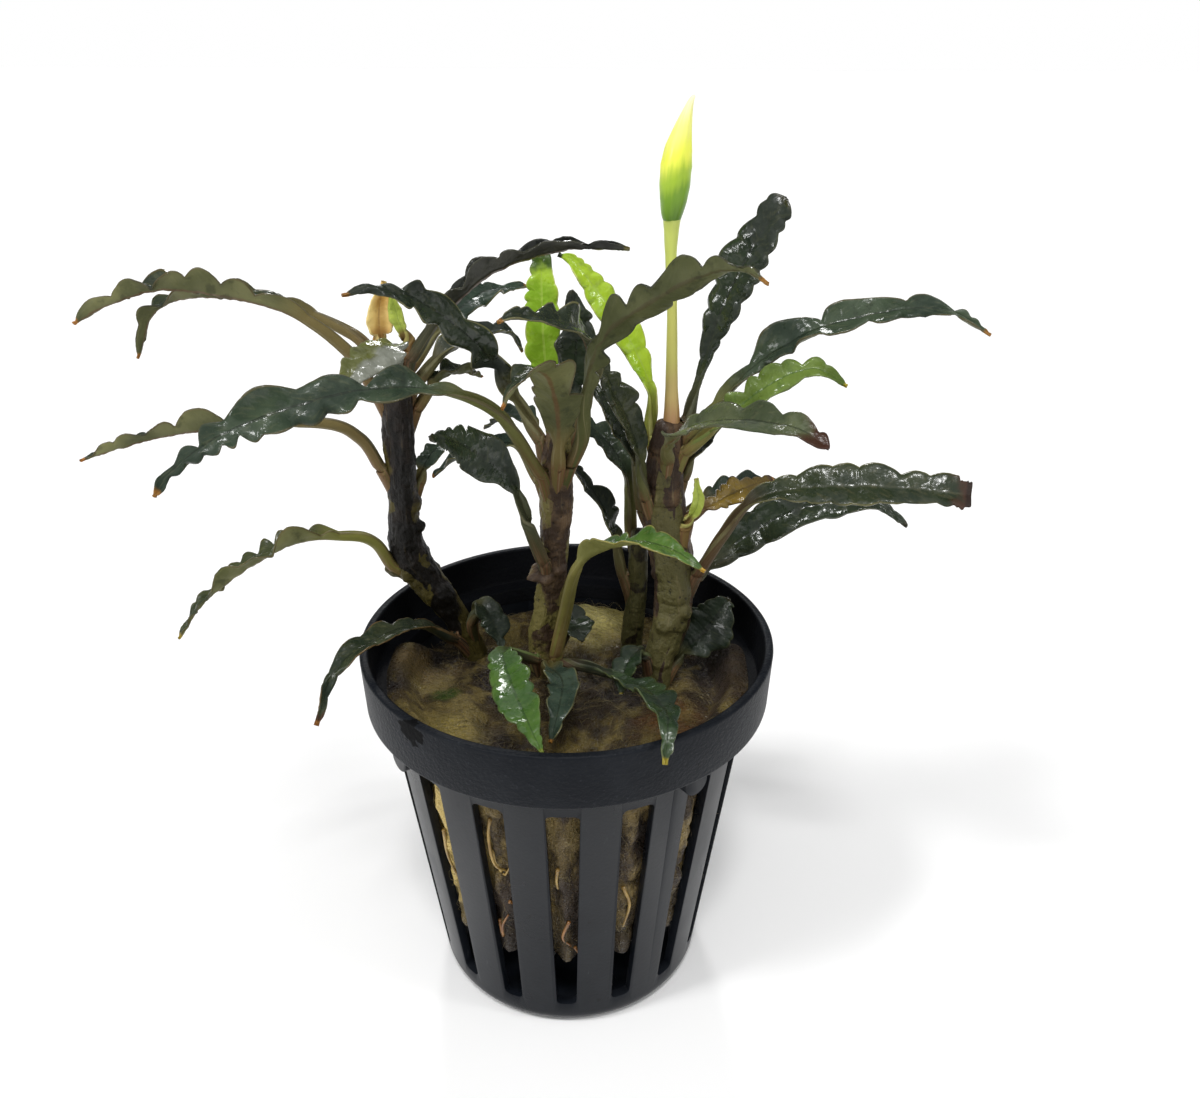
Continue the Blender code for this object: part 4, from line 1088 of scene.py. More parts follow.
    def blade_point(self, leaf: Leaf, rib: Rib, across: float, seed: float) -> Vector:
        """Return a point of petiole or blade.

        Args:
            leaf: The leaf.
            rib: The point's row.
            across: From -1 at one margin to 1 at the other.
            seed: The leaf's own seed.

        Returns:
            The point in millimetres.
        """
        index = 1 if across >= 0.0 else 0
        out = abs(across)
        half = rib.halves[index]
        lift = half * math.sin(rib.fold) * out ** 1.25
        lift += rib.waves[index] * rib.blade * out ** 2.8
        lift += rib.domes[index] * rib.blade * math.sin(math.pi * out ** 0.9)
        lift -= leaf.curl * rib.blade * half * out ** 5
        spot = Vector((rib.share * rib.length * 0.75, across * 1.6, seed))
        lift += rib.blade * (self.pucker * noise.noise(spot) + self.fine_pucker * noise.noise(spot * 2.7))
        if leaf.crumple > 0.0:
            lift += leaf.crumple * rib.blade * noise.noise(spot * 0.35) + 0.3 * noise.noise(spot * 0.9)
        inward = math.cos(rib.fold) * (1.0 - 0.05 * out * rib.blade)
        return rib.centre + rib.side * (across * half * inward) + rib.normal * lift

    def sheath_point(self, foot: Path, outward: Vector, share: float, across: float) -> Vector:
        """Return a point of the clasping foot of a petiole.

        Args:
            foot: The sheath's line.
            outward: The way the petiole leaves its stem.
            share: The share of the sheath from its low end.
            across: From -1 at one edge to 1 at the other.

        Returns:
            The point in millimetres.
        """
        reach = share * self.sheath_reach
        tangent = foot.heading(reach, 0.04)
        normal = (-outward + tangent * outward.dot(tangent)).normalized()
        side = tangent.cross(normal)
        half = self.sheath_half_width + (self.petiole_half_width - self.sheath_half_width) * share ** 2
        half *= 0.35 + 0.65 * soft_step(share * 2.5)
        fold = math.radians(self.sheath_fold + (self.petiole_fold - self.sheath_fold) * share)
        across_point = side * (across * half * math.cos(fold))
        return foot.at(reach) + across_point + normal * (abs(across) * half * math.sin(fold))

    def build(self, leaf: Leaf, stem: WoodyStem, seed: float) -> bpy.types.Object:
        """Build one leaf.

        Args:
            leaf: The leaf.
            stem: The stem that it grows from.
            seed: Its own seed.

        Returns:
            A thin closed leaf whose lower side has the second material.
        """
        path, foot, outward = self.line(leaf, stem)
        length = path.length * (1.0 - leaf.petiole)
        margins = tuple(Margin(lobes, seed + side, leaf, length)
                        for side, lobes in enumerate(leaf.margin_lobes()))
        ribs: dict[float, Rib] = {}

        def place(across: float, row: float) -> Vector:
            """Return the point at shares across and along the grid.

            Args:
                across: The share of the grid's width.
                row: The share of the grid's length.

            Returns:
                The point in millimetres.
            """
            spread = across * 2.0 - 1.0
            if row < self.sheath_rows:
                return self.sheath_point(foot, outward, row / self.sheath_rows, spread)
            if row not in ribs:
                ribs[row] = self.rib(leaf, path, outward, self.along_of(leaf, row), margins)
            return self.blade_point(leaf, ribs[row], spread, seed)

        piece = drape_grid(leaf.name, self.across, self.along, place)
        self.thicken(piece)
        return piece

    def along_of(self, leaf: Leaf, row: float) -> float:
        """Return the share of the leaf's line for a share of the grid's rows.

        Args:
            leaf: The leaf.
            row: The share of the grid's rows.

        Returns:
            The share of the leaf's line.
        """
        if row < self.petiole_rows:
            return leaf.petiole * (row - self.sheath_rows) / (self.petiole_rows - self.sheath_rows)
        return leaf.petiole + (1.0 - leaf.petiole) * (row - self.petiole_rows) / (1.0 - self.petiole_rows)

    def thicken(self, piece: bpy.types.Object) -> None:
        """Give a sheet its thickness: most along petiole and midrib, least at the margins.

        Args:
            piece: The sheet, which gets a Solidify modifier.
        """
        group = piece.vertex_groups.new(name="thickness")
        mesh = piece.data
        surface = mesh.uv_layers["surface"].data
        shares = {}
        for loop in mesh.loops:
            shares[loop.vertex_index] = surface[loop.index].uv
        for index, (across, along) in shares.items():
            out = abs(across * 2.0 - 1.0)
            base = 1.0 - soft_step((along - 0.1) / 0.22)
            middle = self.blade_thickness + 0.3 * math.exp(-((out / 0.16) ** 2)) * (1.0 - along)
            thin = middle + (self.margin_thickness - middle) * out ** 3
            thick = thin + (self.thickness * (1.0 - 0.55 * out ** 2) - thin) * base
            foot = soft_step(along / self.sheath_rows) if along < self.sheath_rows else 1.0
            group.add([index], max(0.12, thick * (0.3 + 0.7 * foot)) / self.thickness, "REPLACE")
        mesh.transform(Matrix.Translation((0.0, 0.0, self.blade_thickness / 2 * MM)))
        solidify = piece.modifiers.new("thickness", "SOLIDIFY")
        solidify.thickness = self.thickness * MM
        solidify.offset = -1.0
        solidify.vertex_group = group.name
        solidify.thickness_vertex_group = 0.0
        solidify.material_offset = 1
        solidify.material_offset_rim = 0


STEMS = (
    WoodyStem(
        "left_stem", ((-11.8, 8.2, 37.5, 1.4), (-12.8, 8, 41, 1.5), (-15, 7.5, 46.6, 1.6),
        (-17.5, 7, 51, 2), (-19.9, 6, 56, 2.2), (-20.1, 5, 61.4, 1.8), (-19.7, 4, 67, 1.6),
        (-19.6, 3.5, 73.6, 1.7), (-19.3, 3, 79.2, 1.75), (-19.1, 3, 84, 1.2)), BarkFinish("bark_left",
        (0.005, 0.004, 0.003), (0.017, 0.011, 0.008), (0.09, 0.074, 0.016), olive_share=0.42,
        olive_foot=56, pale_lines=0.12), knobs=((55.4, 20, 1.1, 0.9), (54.6, 55, 0.5, 0.8),
        (64, 170, 0.5, 1), (60.5, 182, 0.6, 0.7), (50, 140, 0.5, 1.2)), sheath_gap=4.2, sheath_rise=0.14,
        flake=0.07),
    WoodyStem(
        "middle_stem", ((-3.2, 4.2, 37.5, 1.6), (-3.1, 4, 42, 1.75), (-3, 3.5, 46.7, 1.85),
        (-2.1, 3, 52.8, 1.6), (-1.5, 2, 58.9, 1.55), (-1.2, 1.5, 65.7, 1.75), (-1, 1, 70.9, 1.75),
        (-0.6, 1, 74.6, 1.3)), BarkFinish("bark_middle", (0.05, 0.03, 0.018), (0.15, 0.095, 0.05),
        (0.18, 0.16, 0.045), olive_foot=58, pale_lines=0.3), knobs=((68.4, 5, 0.7, 0.6),
        (56.2, 25, 1.3, 0.9), (55.8, 60, 1, 0.8), (57, 120, 0.4, 0.7)), sheath_gap=3.4, sheath_rise=0.18,
        lump=0.07, flake=0.09, seed=2),
    WoodyStem(
        "right_stem", ((11, -0.3, 37.5, 1.35), (11.2, 0, 40.5, 1.4), (11.6, 1, 44.6, 1.55),
        (13, 2.3, 49.3, 2), (13.2, 4, 55, 2.3), (12, 5.6, 61, 2.3), (11.8, 6, 66.4, 2), (12, 6, 71, 1.75),
        (12.3, 6, 74.2, 1.3)), BarkFinish("bark_right", (0.036, 0.021, 0.013), (0.1, 0.058, 0.028),
        (0.1, 0.095, 0.03), olive_foot=52, plates=(7, 1.6), pale_lines=0.38), knobs=((48.5, 60, 0.6, 1),
        (50.5, 130, 0.5, 0.8)), sheath_gap=1.5, sheath_rise=0.28, lump=0.03, flake=0.05, seed=3),
    WoodyStem(
        "side_stem", ((7.9, 8, 37.5, 1.2), (8.1, 8, 41, 1.25), (8.8, 7.9, 49, 1.25), (9, 8.6, 55, 1.1),
        (9, 9.2, 58.5, 0.8)), BarkFinish("bark_side", (0.02, 0.015, 0.007), (0.05, 0.042, 0.018),
        (0.09, 0.085, 0.028), olive_share=0.6), sheath_gap=3.4, lump=0.07, flake=0.07, seed=4, around=60,
        along=160),
)

LEAVES = (
    Leaf("left_leaf_01", 79, ((-24, 1, 84), (-30, 0, 88.5), (-40.5, -1, 90.9), (-47, -1.5, 89.8),
         (-52, -2, 87.4)), 4.3, (0, 0.5, 0.87), fold=42, twist=10, petiole=0.28, frill=0.4,
         kind=LeafKind.OLIVE, lobe_depth=0.45, roundness=0.65),
    Leaf("left_leaf_02", 82, ((-24.2, 5, 84.7), (-31, 6, 87.2), (-40.3, 5.5, 88.7), (-45.9, 4.5, 87.2),
         (-48.4, 3.5, 82)), 4.8, (0, 0.3, 0.95), fold=30, twist=-10, petiole=0.25, frill=0.4,
         kind=LeafKind.OLIVE, lobe_depth=0.45, roundness=1),
    Leaf("left_leaf_03", 69, ((-23.6, 2.4, 73), (-27.5, 0.5, 75.6), (-38.5, -3, 76.2), (-46, -4.6, 75.2),
         (-52.5, -6, 73.4)), 4.2, (0, 0.45, 0.9), fold=42, twist=8, lobes=7, petiole=0.34, frill=0.24,
         kind=LeafKind.OLIVE, lobe_depth=0.5, roundness=0.7),
    Leaf("left_leaf_04", 55.5, ((-23.5, 3.5, 59.2), (-26.5, 1.5, 60.9), (-33, -2, 61.2),
         (-41.5, -5, 56.2), (-45.2, -7, 51.5)), 4.2, (0, 0.2, 1), fold=35, twist=5, lobes=7, petiole=0.26,
         frill=0.5, kind=LeafKind.OLIVE_YELLOW, lobe_depth=0.5, roundness=1),
    Leaf("left_leaf_05", 44, ((-18, 0, 49.2), (-21.5, -6, 51.4), (-25.7, -12, 50.6), (-27.6, -16, 45.6)),
         3.3, (0.5, 0.3, 1), lobes=(7, 6), petiole=0.15, frill=0.2, kind=LeafKind.WORN),
    Leaf("left_leaf_06", 82.5, ((-14, 1.2, 86.9), (-7.5, 0, 92.6), (0.5, 0, 95), (7, 1, 94.8)), 3,
         (-0.2, -0.1, 0.9), fold=66, petiole=0.12, frill=0.22, kind=LeafKind.BLACK),
    Leaf("left_leaf_07", 82.5, ((-18, -2.6, 85), (-19.3, -7, 85.4), (-21.8, -11, 83.4)), 5.2,
         (0.1, -0.5, 0.86), fold=6, lobes=(4, 3), frill=0.3, kind=LeafKind.SILVER, belly=0.5, blunt=0.5,
         crumple=0.8),
    Leaf("left_leaf_08", 76, ((-14.8, 5.6, 79.2), (-12.2, 7.6, 79.4), (-10.2, 9.6, 78.2)), 3.8,
         (0, 0.2, 1), fold=28, lobes=3, petiole=0.25, frill=0.3, kind=LeafKind.OLIVE),
    Leaf("left_leaf_09", 80.5, ((-15, 10, 83.8), (-10.5, 17, 86.4), (-5.5, 23, 86)), 4.8, (0, -0.4, 0.9),
         fold=15, lobes=5, kind=LeafKind.GREY),
    Leaf("left_leaf_10", 79, ((-14.2, 6.6, 81.8), (-9.5, 9.8, 83.4), (-6.8, 11.2, 83),
         (-5.3, 11.8, 80.6)), 4.2, (0, -0.2, 1), lobes=4),
    Leaf("left_leaf_11", 66, ((-16.8, 7, 68.8), (-14.8, 9.5, 70)), 3, (0, -0.4, 0.9), fold=20, lobes=3,
         frill=0.3, kind=LeafKind.GREY),
    Leaf("left_leaf_12", 46, ((-11.5, 6, 49), (-9.3, 3.2, 47.5), (-8.3, 1, 45.4)), 4.4, (0.3, -0.5, 0.8),
         fold=16, lobes=3, petiole=0.3, frill=0.2, kind=LeafKind.SHADE),
    Leaf("middle_leaf_01", 69.5, ((-7, -4.5, 78.5), (-13.5, -9.5, 82.6), (-21, -14, 83.6),
         (-30.5, -17.5, 81.4), (-36, -19.5, 78.4), (-38.7, -20.5, 75.3)), 5.2, (0, -0.7, 0.7), fold=12,
         twist=-30, lobes=((0, 0.1, 0.2, 0.38, 0.47, 0.55, 0.65, 0.71, 0.76, 0.82, 0.87, 0.93, 1), (0,
         0.17, 0.35, 0.53, 0.73, 0.82, 0.9, 1)), petiole=0.28, frill=0.4, kind=LeafKind.BLUE, belly=0.5,
         lobe_depth=0.7, roundness=1.1),
    Leaf("middle_leaf_02", 73, ((-6.2, 2.2, 79), (-9.4, -1, 85), (-14.2, -5, 90.3), (-18, -8, 92.5),
         (-21.2, -10, 92.3)), 4.4, (-0.3, -0.75, 0.55), fold=12, lobes=(7, 6), petiole=0.15,
         lobe_depth=0.6, roundness=1.1),
    Leaf("middle_leaf_03", 71, ((2.1, -2.4, 75.6), (2.6, -5.8, 82), (4.6, -9.8, 88.5), (8.4, -14.8, 92.8),
         (13.2, -20.5, 96.8), (16, -24, 97.8), (17.7, -26.5, 97.2)), 4.2, (0.55, 0.4, 0.6), fold=20,
         lobes=(7, 7), kind=LeafKind.OLIVE_DARK, belly=0.5, lobe_depth=0.5, roundness=1),
    Leaf("middle_leaf_04", 73.5, ((-2.4, 5.4, 81.5), (-2.7, 6.8, 87.5), (-2.8, 9, 93.4)), 4.6,
         (0, -1, 0.3), fold=12, lobes=(10, 8), petiole=0.12, frill=0.2, kind=LeafKind.BRIGHT_DARK_END,
         belly=0.5, blunt=0.6, lobe_depth=0.22),
    Leaf("middle_leaf_05", 74.2, ((3, 0.8, 81.6), (2, -3.6, 87), (-1.6, -8.6, 89.7), (-4.5, -11.4, 90.6),
         (-6, -12.4, 90.3)), 4.4, (0.2, -0.5, 0.8), fold=22, lobes=5, frill=0.3),
    Leaf("middle_leaf_06", 73.8, ((1, 3.8, 80), (1.2, 4.3, 85), (0.8, 3.6, 89.7)), 5.2, (0.2, -1, 0.2),
         fold=15, lobes=4, petiole=0.15, frill=0.25, kind=LeafKind.GLOSSY, belly=0.55, blunt=0.3),
    Leaf("middle_leaf_07", 71, ((-0.5, -4.5, 77.5), (-1, -8, 82.8), (-2.2, -11.5, 85.4),
         (-4.2, -14.5, 84.8), (-5.6, -16.5, 83)), 5.8, (0.1, 0.5, 0.85), fold=20, lobes=5, petiole=0.12,
         frill=0.3, kind=LeafKind.OLIVE),
    Leaf("middle_leaf_08", 58, ((-4.3, -2.2, 64.5), (-5.8, -4.2, 70), (-8.2, -6, 73.5), (-11, -8, 76.2),
         (-13.6, -10, 77.6)), 5.4, (-0.3, -0.7, 0.7), fold=5, lobes=(5, 4), petiole=0.4, frill=0.06,
         kind=LeafKind.GLOSSY, belly=0.62, blunt=0.3, smooth=0.72),
    Leaf("middle_leaf_09", 67.5, ((-5.8, 5, 71), (-9.5, 7, 70.3), (-14, 8.6, 68), (-17, 9.5, 65.2)), 3.8,
         (0, -0.3, 0.9), fold=22, lobes=5, frill=0.3, kind=LeafKind.GREY),
    Leaf("middle_leaf_10", 71.5, ((-4.7, 6, 74), (-7.3, 9, 73.5), (-10.5, 11.5, 71)), 3.6, (0, -0.3, 0.9),
         fold=22, lobes=4, frill=0.3, kind=LeafKind.GREY),
    Leaf("middle_leaf_11", 43.5, ((-0.1, 0.4, 51.5), (1.4, -4, 59.5), (4.4, -8, 64), (8.5, -11, 66.2),
         (12, -13, 66), (15, -15, 64.8)), 4.4, (0.2, 0.55, 0.8), fold=16, twist=130, petiole=0.45,
         frill=0.25, kind=LeafKind.TIP_GREEN, belly=0.5),
    Leaf("middle_leaf_12", 43.5, ((-7.5, -4, 48), (-6, -12, 48.6), (-3.6, -19, 48), (-2, -22.6, 47)), 5.2,
         (-0.2, -0.3, 0.9), fold=12, lobes=9, frill=0.1, kind=LeafKind.MID_GREEN, belly=0.5,
         lobe_depth=0.2),
    Leaf("middle_leaf_13", 42.8, ((-2, -3, 45.2), (-0.4, -8, 46.4), (-0.6, -13, 46.2),
         (-1.4, -17.5, 44.6)), 4.2, (0.2, -0.3, 0.9), fold=18, lobes=4, frill=0.3, kind=LeafKind.GREY),
    Leaf("middle_leaf_14", 46, ((0.4, 3.6, 48), (1.9, 0.6, 46.8)), 5.4, (0.3, -0.5, 0.8), fold=14,
         lobes=3, frill=0.15, kind=LeafKind.GLOSSY),
    Leaf("right_leaf_01", 73.4, ((16.2, 7.4, 81), (17.8, 7.2, 87), (20.8, 6.6, 94), (23, 6.2, 97.8),
         (24, 6, 99.2)), 6, (-0.48, -0.77, 0.42), fold=9, lobes=(9, 12), petiole=0.1, frill=0.1,
         kind=LeafKind.GLOSSY, belly=0.66, blunt=0.75, lobe_depth=0.2, roundness=0.9),
    Leaf("right_leaf_02", 72, ((20.8, 5.6, 79.8), (24.7, 4.4, 83.3), (28.8, 3, 86), (36.5, 1, 88.4),
         (41.5, -0.6, 88.6), (45.6, -2, 86.5)), 4.9, (-0.3, -0.5, 0.8), fold=22, twist=25,
         lobes=((0, 0.2, 0.47, 0.73, 0.87, 0.92, 0.96, 1), 10), petiole=0.1, frill=0.45,
         kind=LeafKind.BLUE, lobe_depth=0.6, roundness=0.8),
    Leaf("right_leaf_03", 70.5, ((18.4, 2, 75.8), (23, 1.2, 79.9), (27.5, 0.6, 81.9), (31.4, 0, 80.2)),
         4.4, (0, -0.6, 0.8), fold=20, lobes=(7, 5), frill=0.3, kind=LeafKind.FRESH),
    Leaf("right_leaf_04", 70, ((11.8, -3, 75), (14.5, -8.5, 78.7), (18.5, -13.5, 80.8),
         (22.8, -17.5, 81.4), (25.5, -20, 80.4)), 5.2, (0.2, -0.65, 0.7), fold=22, lobes=(6, 5),
         petiole=0.12, frill=0.25, kind=LeafKind.OLIVE_GREY, belly=0.55, blunt=0.5, roundness=1),
    Leaf("right_leaf_05", 55, ((18.5, 1.5, 61), (21.5, -0.6, 66.3), (26.5, -2.8, 69), (34.5, -5, 70.2),
         (40, -6, 70.2), (44.5, -7, 70)), 5.8, (0, -0.6, 0.8), fold=16, lobes=(7, 10), petiole=0.28,
         frill=0.07, kind=LeafKind.BROWN_END, belly=0.55, blunt=0.75, lobe_depth=0.24, torn=True),
    Leaf("right_leaf_06", 54, ((21, 5, 58.4), (26.5, 4.6, 62.4), (31.5, 4.4, 64), (37, 4.4, 64.3),
         (41.5, 4, 61.2)), 5.4, (0.1, -0.7, 0.7), fold=14, lobes=(9, 6), petiole=0.06, frill=0.3,
         kind=LeafKind.GLOSSY, belly=0.35, lobe_depth=0.18),
    Leaf("right_leaf_07", 61.5, ((17.8, 6, 63.2), (21.5, 7.2, 64.6), (25.5, 8.4, 65.6)), 4,
         (0, -0.5, 0.8), fold=15, lobes=(7, 7), petiole=0.15, kind=LeafKind.OLD, belly=0.5, blunt=0.3),
    Leaf("right_leaf_08", 61, ((19, 11, 62.6), (24.5, 14, 63), (28.5, 16, 61.2)), 3.6, (0, -0.2, 1),
         fold=22, lobes=4, frill=0.3, kind=LeafKind.GREY),
    Leaf("right_leaf_09", 66, ((15.8, 8.5, 70), (18, 10.5, 72), (20.5, 12.5, 71.6)), 3.8, (0, -0.3, 0.9),
         fold=22, lobes=3, frill=0.3),
    Leaf("right_leaf_10", 64.5, ((8.2, 3.6, 72), (6, 2.9, 77.5), (4, 2.6, 81.8), (3.2, 2.4, 84.2)), 4.6,
         (0.3, -0.5, 0.7), fold=22, lobes=5, frill=0.25, kind=LeafKind.OLIVE_DARK, belly=0.5),
    Leaf("right_leaf_11", 62, ((8.3, 7, 68.5), (6, 7.3, 73.5), (3.8, 7.3, 77), (2, 7.8, 79)), 4.2,
         (0.2, -0.5, 0.8), fold=20, lobes=5, petiole=0.3, frill=0.3),
    Leaf("right_leaf_12", 71.5, ((9.9, 7.2, 77.5), (7, 8.4, 83.6), (3.6, 9, 88.4), (0.8, 8.8, 91.8),
         (-0.8, 8.6, 92.7)), 4.4, (0.3, -0.8, 0.4), fold=12, lobes=(7, 9), petiole=0.15, frill=0.3,
         kind=LeafKind.BRIGHT, belly=0.55, lobe_depth=0.2),
    Leaf("right_leaf_13", 43, ((15, 1.8, 45.2), (17.6, 2.6, 47.4), (20.1, 3.6, 51.2)), 7.2,
         (-0.3, -0.8, 0.5), fold=12, lobes=4, petiole=0.15, frill=0.12, kind=LeafKind.SHADE, belly=0.5,
         blunt=0.4),
    Leaf("right_leaf_14", 42.6, ((2.6, 0.4, 43.2), (5.6, -5, 45.2), (9, -12.5, 48.6), (11, -19.5, 50.4),
         (11.1, -23, 50.4), (10.8, -25.6, 47.8)), 4.8, (0.2, -0.3, 0.9), fold=14, lobes=(9, 8), frill=0.3,
         kind=LeafKind.MID_DARK, belly=0.55, stem="middle_stem"),
    Leaf("right_leaf_15", 45, ((8.8, -0.8, 46.2), (7.2, -2.6, 45), (6.6, -5.4, 42.9)), 4,
         (-0.4, -0.5, 0.7), fold=18, lobes=3, frill=0.3, kind=LeafKind.MID_DARK),
    Leaf("side_leaf_01", 52, ((5.4, 8.2, 59.4), (3.4, 9, 63), (0.2, 9.8, 67), (-1.8, 10.5, 67.8)), 3.8,
         (0.3, -0.2, 0.9), fold=18, lobes=5, frill=0.25),
    Leaf("side_leaf_02", 57, ((7.5, 11, 64.3), (4.8, 11.5, 69.2), (1, 12, 72), (-1.2, 12.5, 72.4)), 4.2,
         (0.3, -0.4, 0.8), fold=18, lobes=5, petiole=0.3, frill=0.25, kind=LeafKind.BLUE),
    Leaf("left_crown_sheath", 83.4, ((-20.7, 3.8, 87), (-19.8, 3.8, 90.6)), 3.9, (0.3, -0.9, 0.1),
         fold=42, lobes=1, frill=0, kind=LeafKind.SHEATH, belly=0.2, blunt=0.02, lobe_depth=0.05),
    Leaf("left_crown_bud", 83.8, ((-18.4, 2.8, 86.8), (-19, 2.8, 89.8)), 2, (-0.3, -1, 0.1), lobes=1,
         frill=0, kind=LeafKind.BUD, lobe_depth=0.05),
    Leaf("right_bud", 61, ((15.6, 2.6, 64.5), (15.3, 2.2, 68)), 1.7, (0, -1, 0.2), lobes=1, frill=0,
         kind=LeafKind.BUD, lobe_depth=0.05),
)


@dataclass
class Foliage:
    """Every leaf, bud and sheath of the plant."""

    leaves: tuple[Leaf, ...]
    stems: tuple[WoodyStem, ...]
    maker: LeafMaker
    first_seed: float = 3.1
    seed_step: float = 1.7

    def dress(self) -> None:
        """Build each leaf and give its two sides their finish."""
        by_name = {stem.name: stem for stem in self.stems}
        made: dict[LeafKind, list[bpy.types.Material]] = {}
        for number, leaf in enumerate(self.leaves):
            if leaf.kind not in made:
                made[leaf.kind] = [leaf.kind.value.material(side) for side in LeafSide]
            seed = self.first_seed + number * self.seed_step
            piece = self.maker.build(leaf, by_name[leaf.stem_name()], seed)
            piece.name = f"{leaf.name}_blade"
            finish = leaf.kind.value
            finish_piece(piece, made[leaf.kind], finish.slot or finish.name, leaf.name)


@dataclass
class FlowerSpike:
    """The pale stalk and the closed spathe on top of it."""

    stalk: Stations = ((12.4, 6.1, 72.0, 1.1), (12.4, 6.1, 74.8, 0.95), (12.3, 6.3, 78.0, 0.74),
                       (12.1, 7.0, 86.9, 0.58), (11.8, 7.7, 93.0, 0.66), (11.8, 8.0, 95.6, 0.85),
                       (11.8, 8.0, 97.3, 1.05))
    spathe: Stations = ((11.8, 8.0, 96.6, 0.95), (11.8, 8.0, 97.4, 1.2), (11.9, 8.0, 98.8, 1.5),
                        (12.0, 8.0, 100.4, 1.68), (12.1, 8.0, 102.4, 1.74), (12.3, 8.0, 104.2, 1.5),
                        (12.7, 8.0, 106.2, 0.98), (13.1, 8.0, 107.8, 0.58), (13.5, 8.0, 109.0, 0.3),
                        (13.8, 8.0, 109.5, 0.14))
    around: int = 48
    along: int = 120
    end_reach: float = 0.012
    seam_angle: float = 1.2
    seam_turn: float = 1.1
    seam_edge: float = 0.16
    seam_slope: float = 0.9

    def tube(self, name: str, stations: Stations, seam: float) -> bpy.types.Object:
        """Build a smooth tube through stations, with an overlapping seam.

        Args:
            name: The piece's name.
            stations: Rows of x, y, z and radius.
            seam: How far the wrapped edge stands out, in millimetres.

        Returns:
            The closed tube.
        """
        line = TubeLine(stations)

        def place(across: float, share: float) -> Vector:
            """Return the point at shares across and along the grid.

            Args:
                across: The share of a turn round the line.
                share: The share of the line.

            Returns:
                The point in millimetres.
            """
            centre, side, front, radius = line.ring(share)
            angle = math.tau * across
            wrap = math.remainder(angle - self.seam_angle - self.seam_turn * share, math.tau)
            width = self.seam_edge if wrap > 0.0 else self.seam_slope
            radius += seam * math.exp(-((wrap / width) ** 2))
            spot = Vector((math.cos(angle) * 2, math.sin(angle) * 2, share * 9))
            radius *= (1.0 + 0.02 * noise.noise(spot)) * rounded_end(share, self.end_reach)
            return centre + (side * math.cos(angle) + front * math.sin(angle)) * radius

        return drape_grid(name, self.around, self.along, place)

    def dress(self) -> None:
        """Build the stalk and the spathe and colour them."""
        stalk_skin = GradedSkin("stalk_skin", ((74.0, (0.4, 0.22, 0.09)), (78.0, (0.5, 0.38, 0.13)),
                                               (82.0, (0.52, 0.5, 0.12)), (96.0, (0.58, 0.66, 0.13))))
        spathe_skin = GradedSkin("spathe_skin", ((96.6, (0.1, 0.23, 0.006)), (99.6, (0.19, 0.37, 0.01)),
                                                 (101.3, (0.4, 0.6, 0.025)), (103.6, (0.95, 1.0, 0.1)),
                                                 (106.0, (1.0, 1.0, 0.24)), (108.8, (1.0, 0.97, 0.6)),
                                                 (109.4, (0.85, 0.6, 0.1))),
                                 streak_share=0.05, lean=-0.55)
        stalk = self.tube("flower_stalk_skin", self.stalk, 0.0)
        finish_piece(stalk, [stalk_skin.material()], "stalk", "flower_stalk")
        spathe = self.tube("flower_spathe_skin", self.spathe, 0.09)
        finish_piece(spathe, [spathe_skin.material()], "spathe", "flower_spathe")


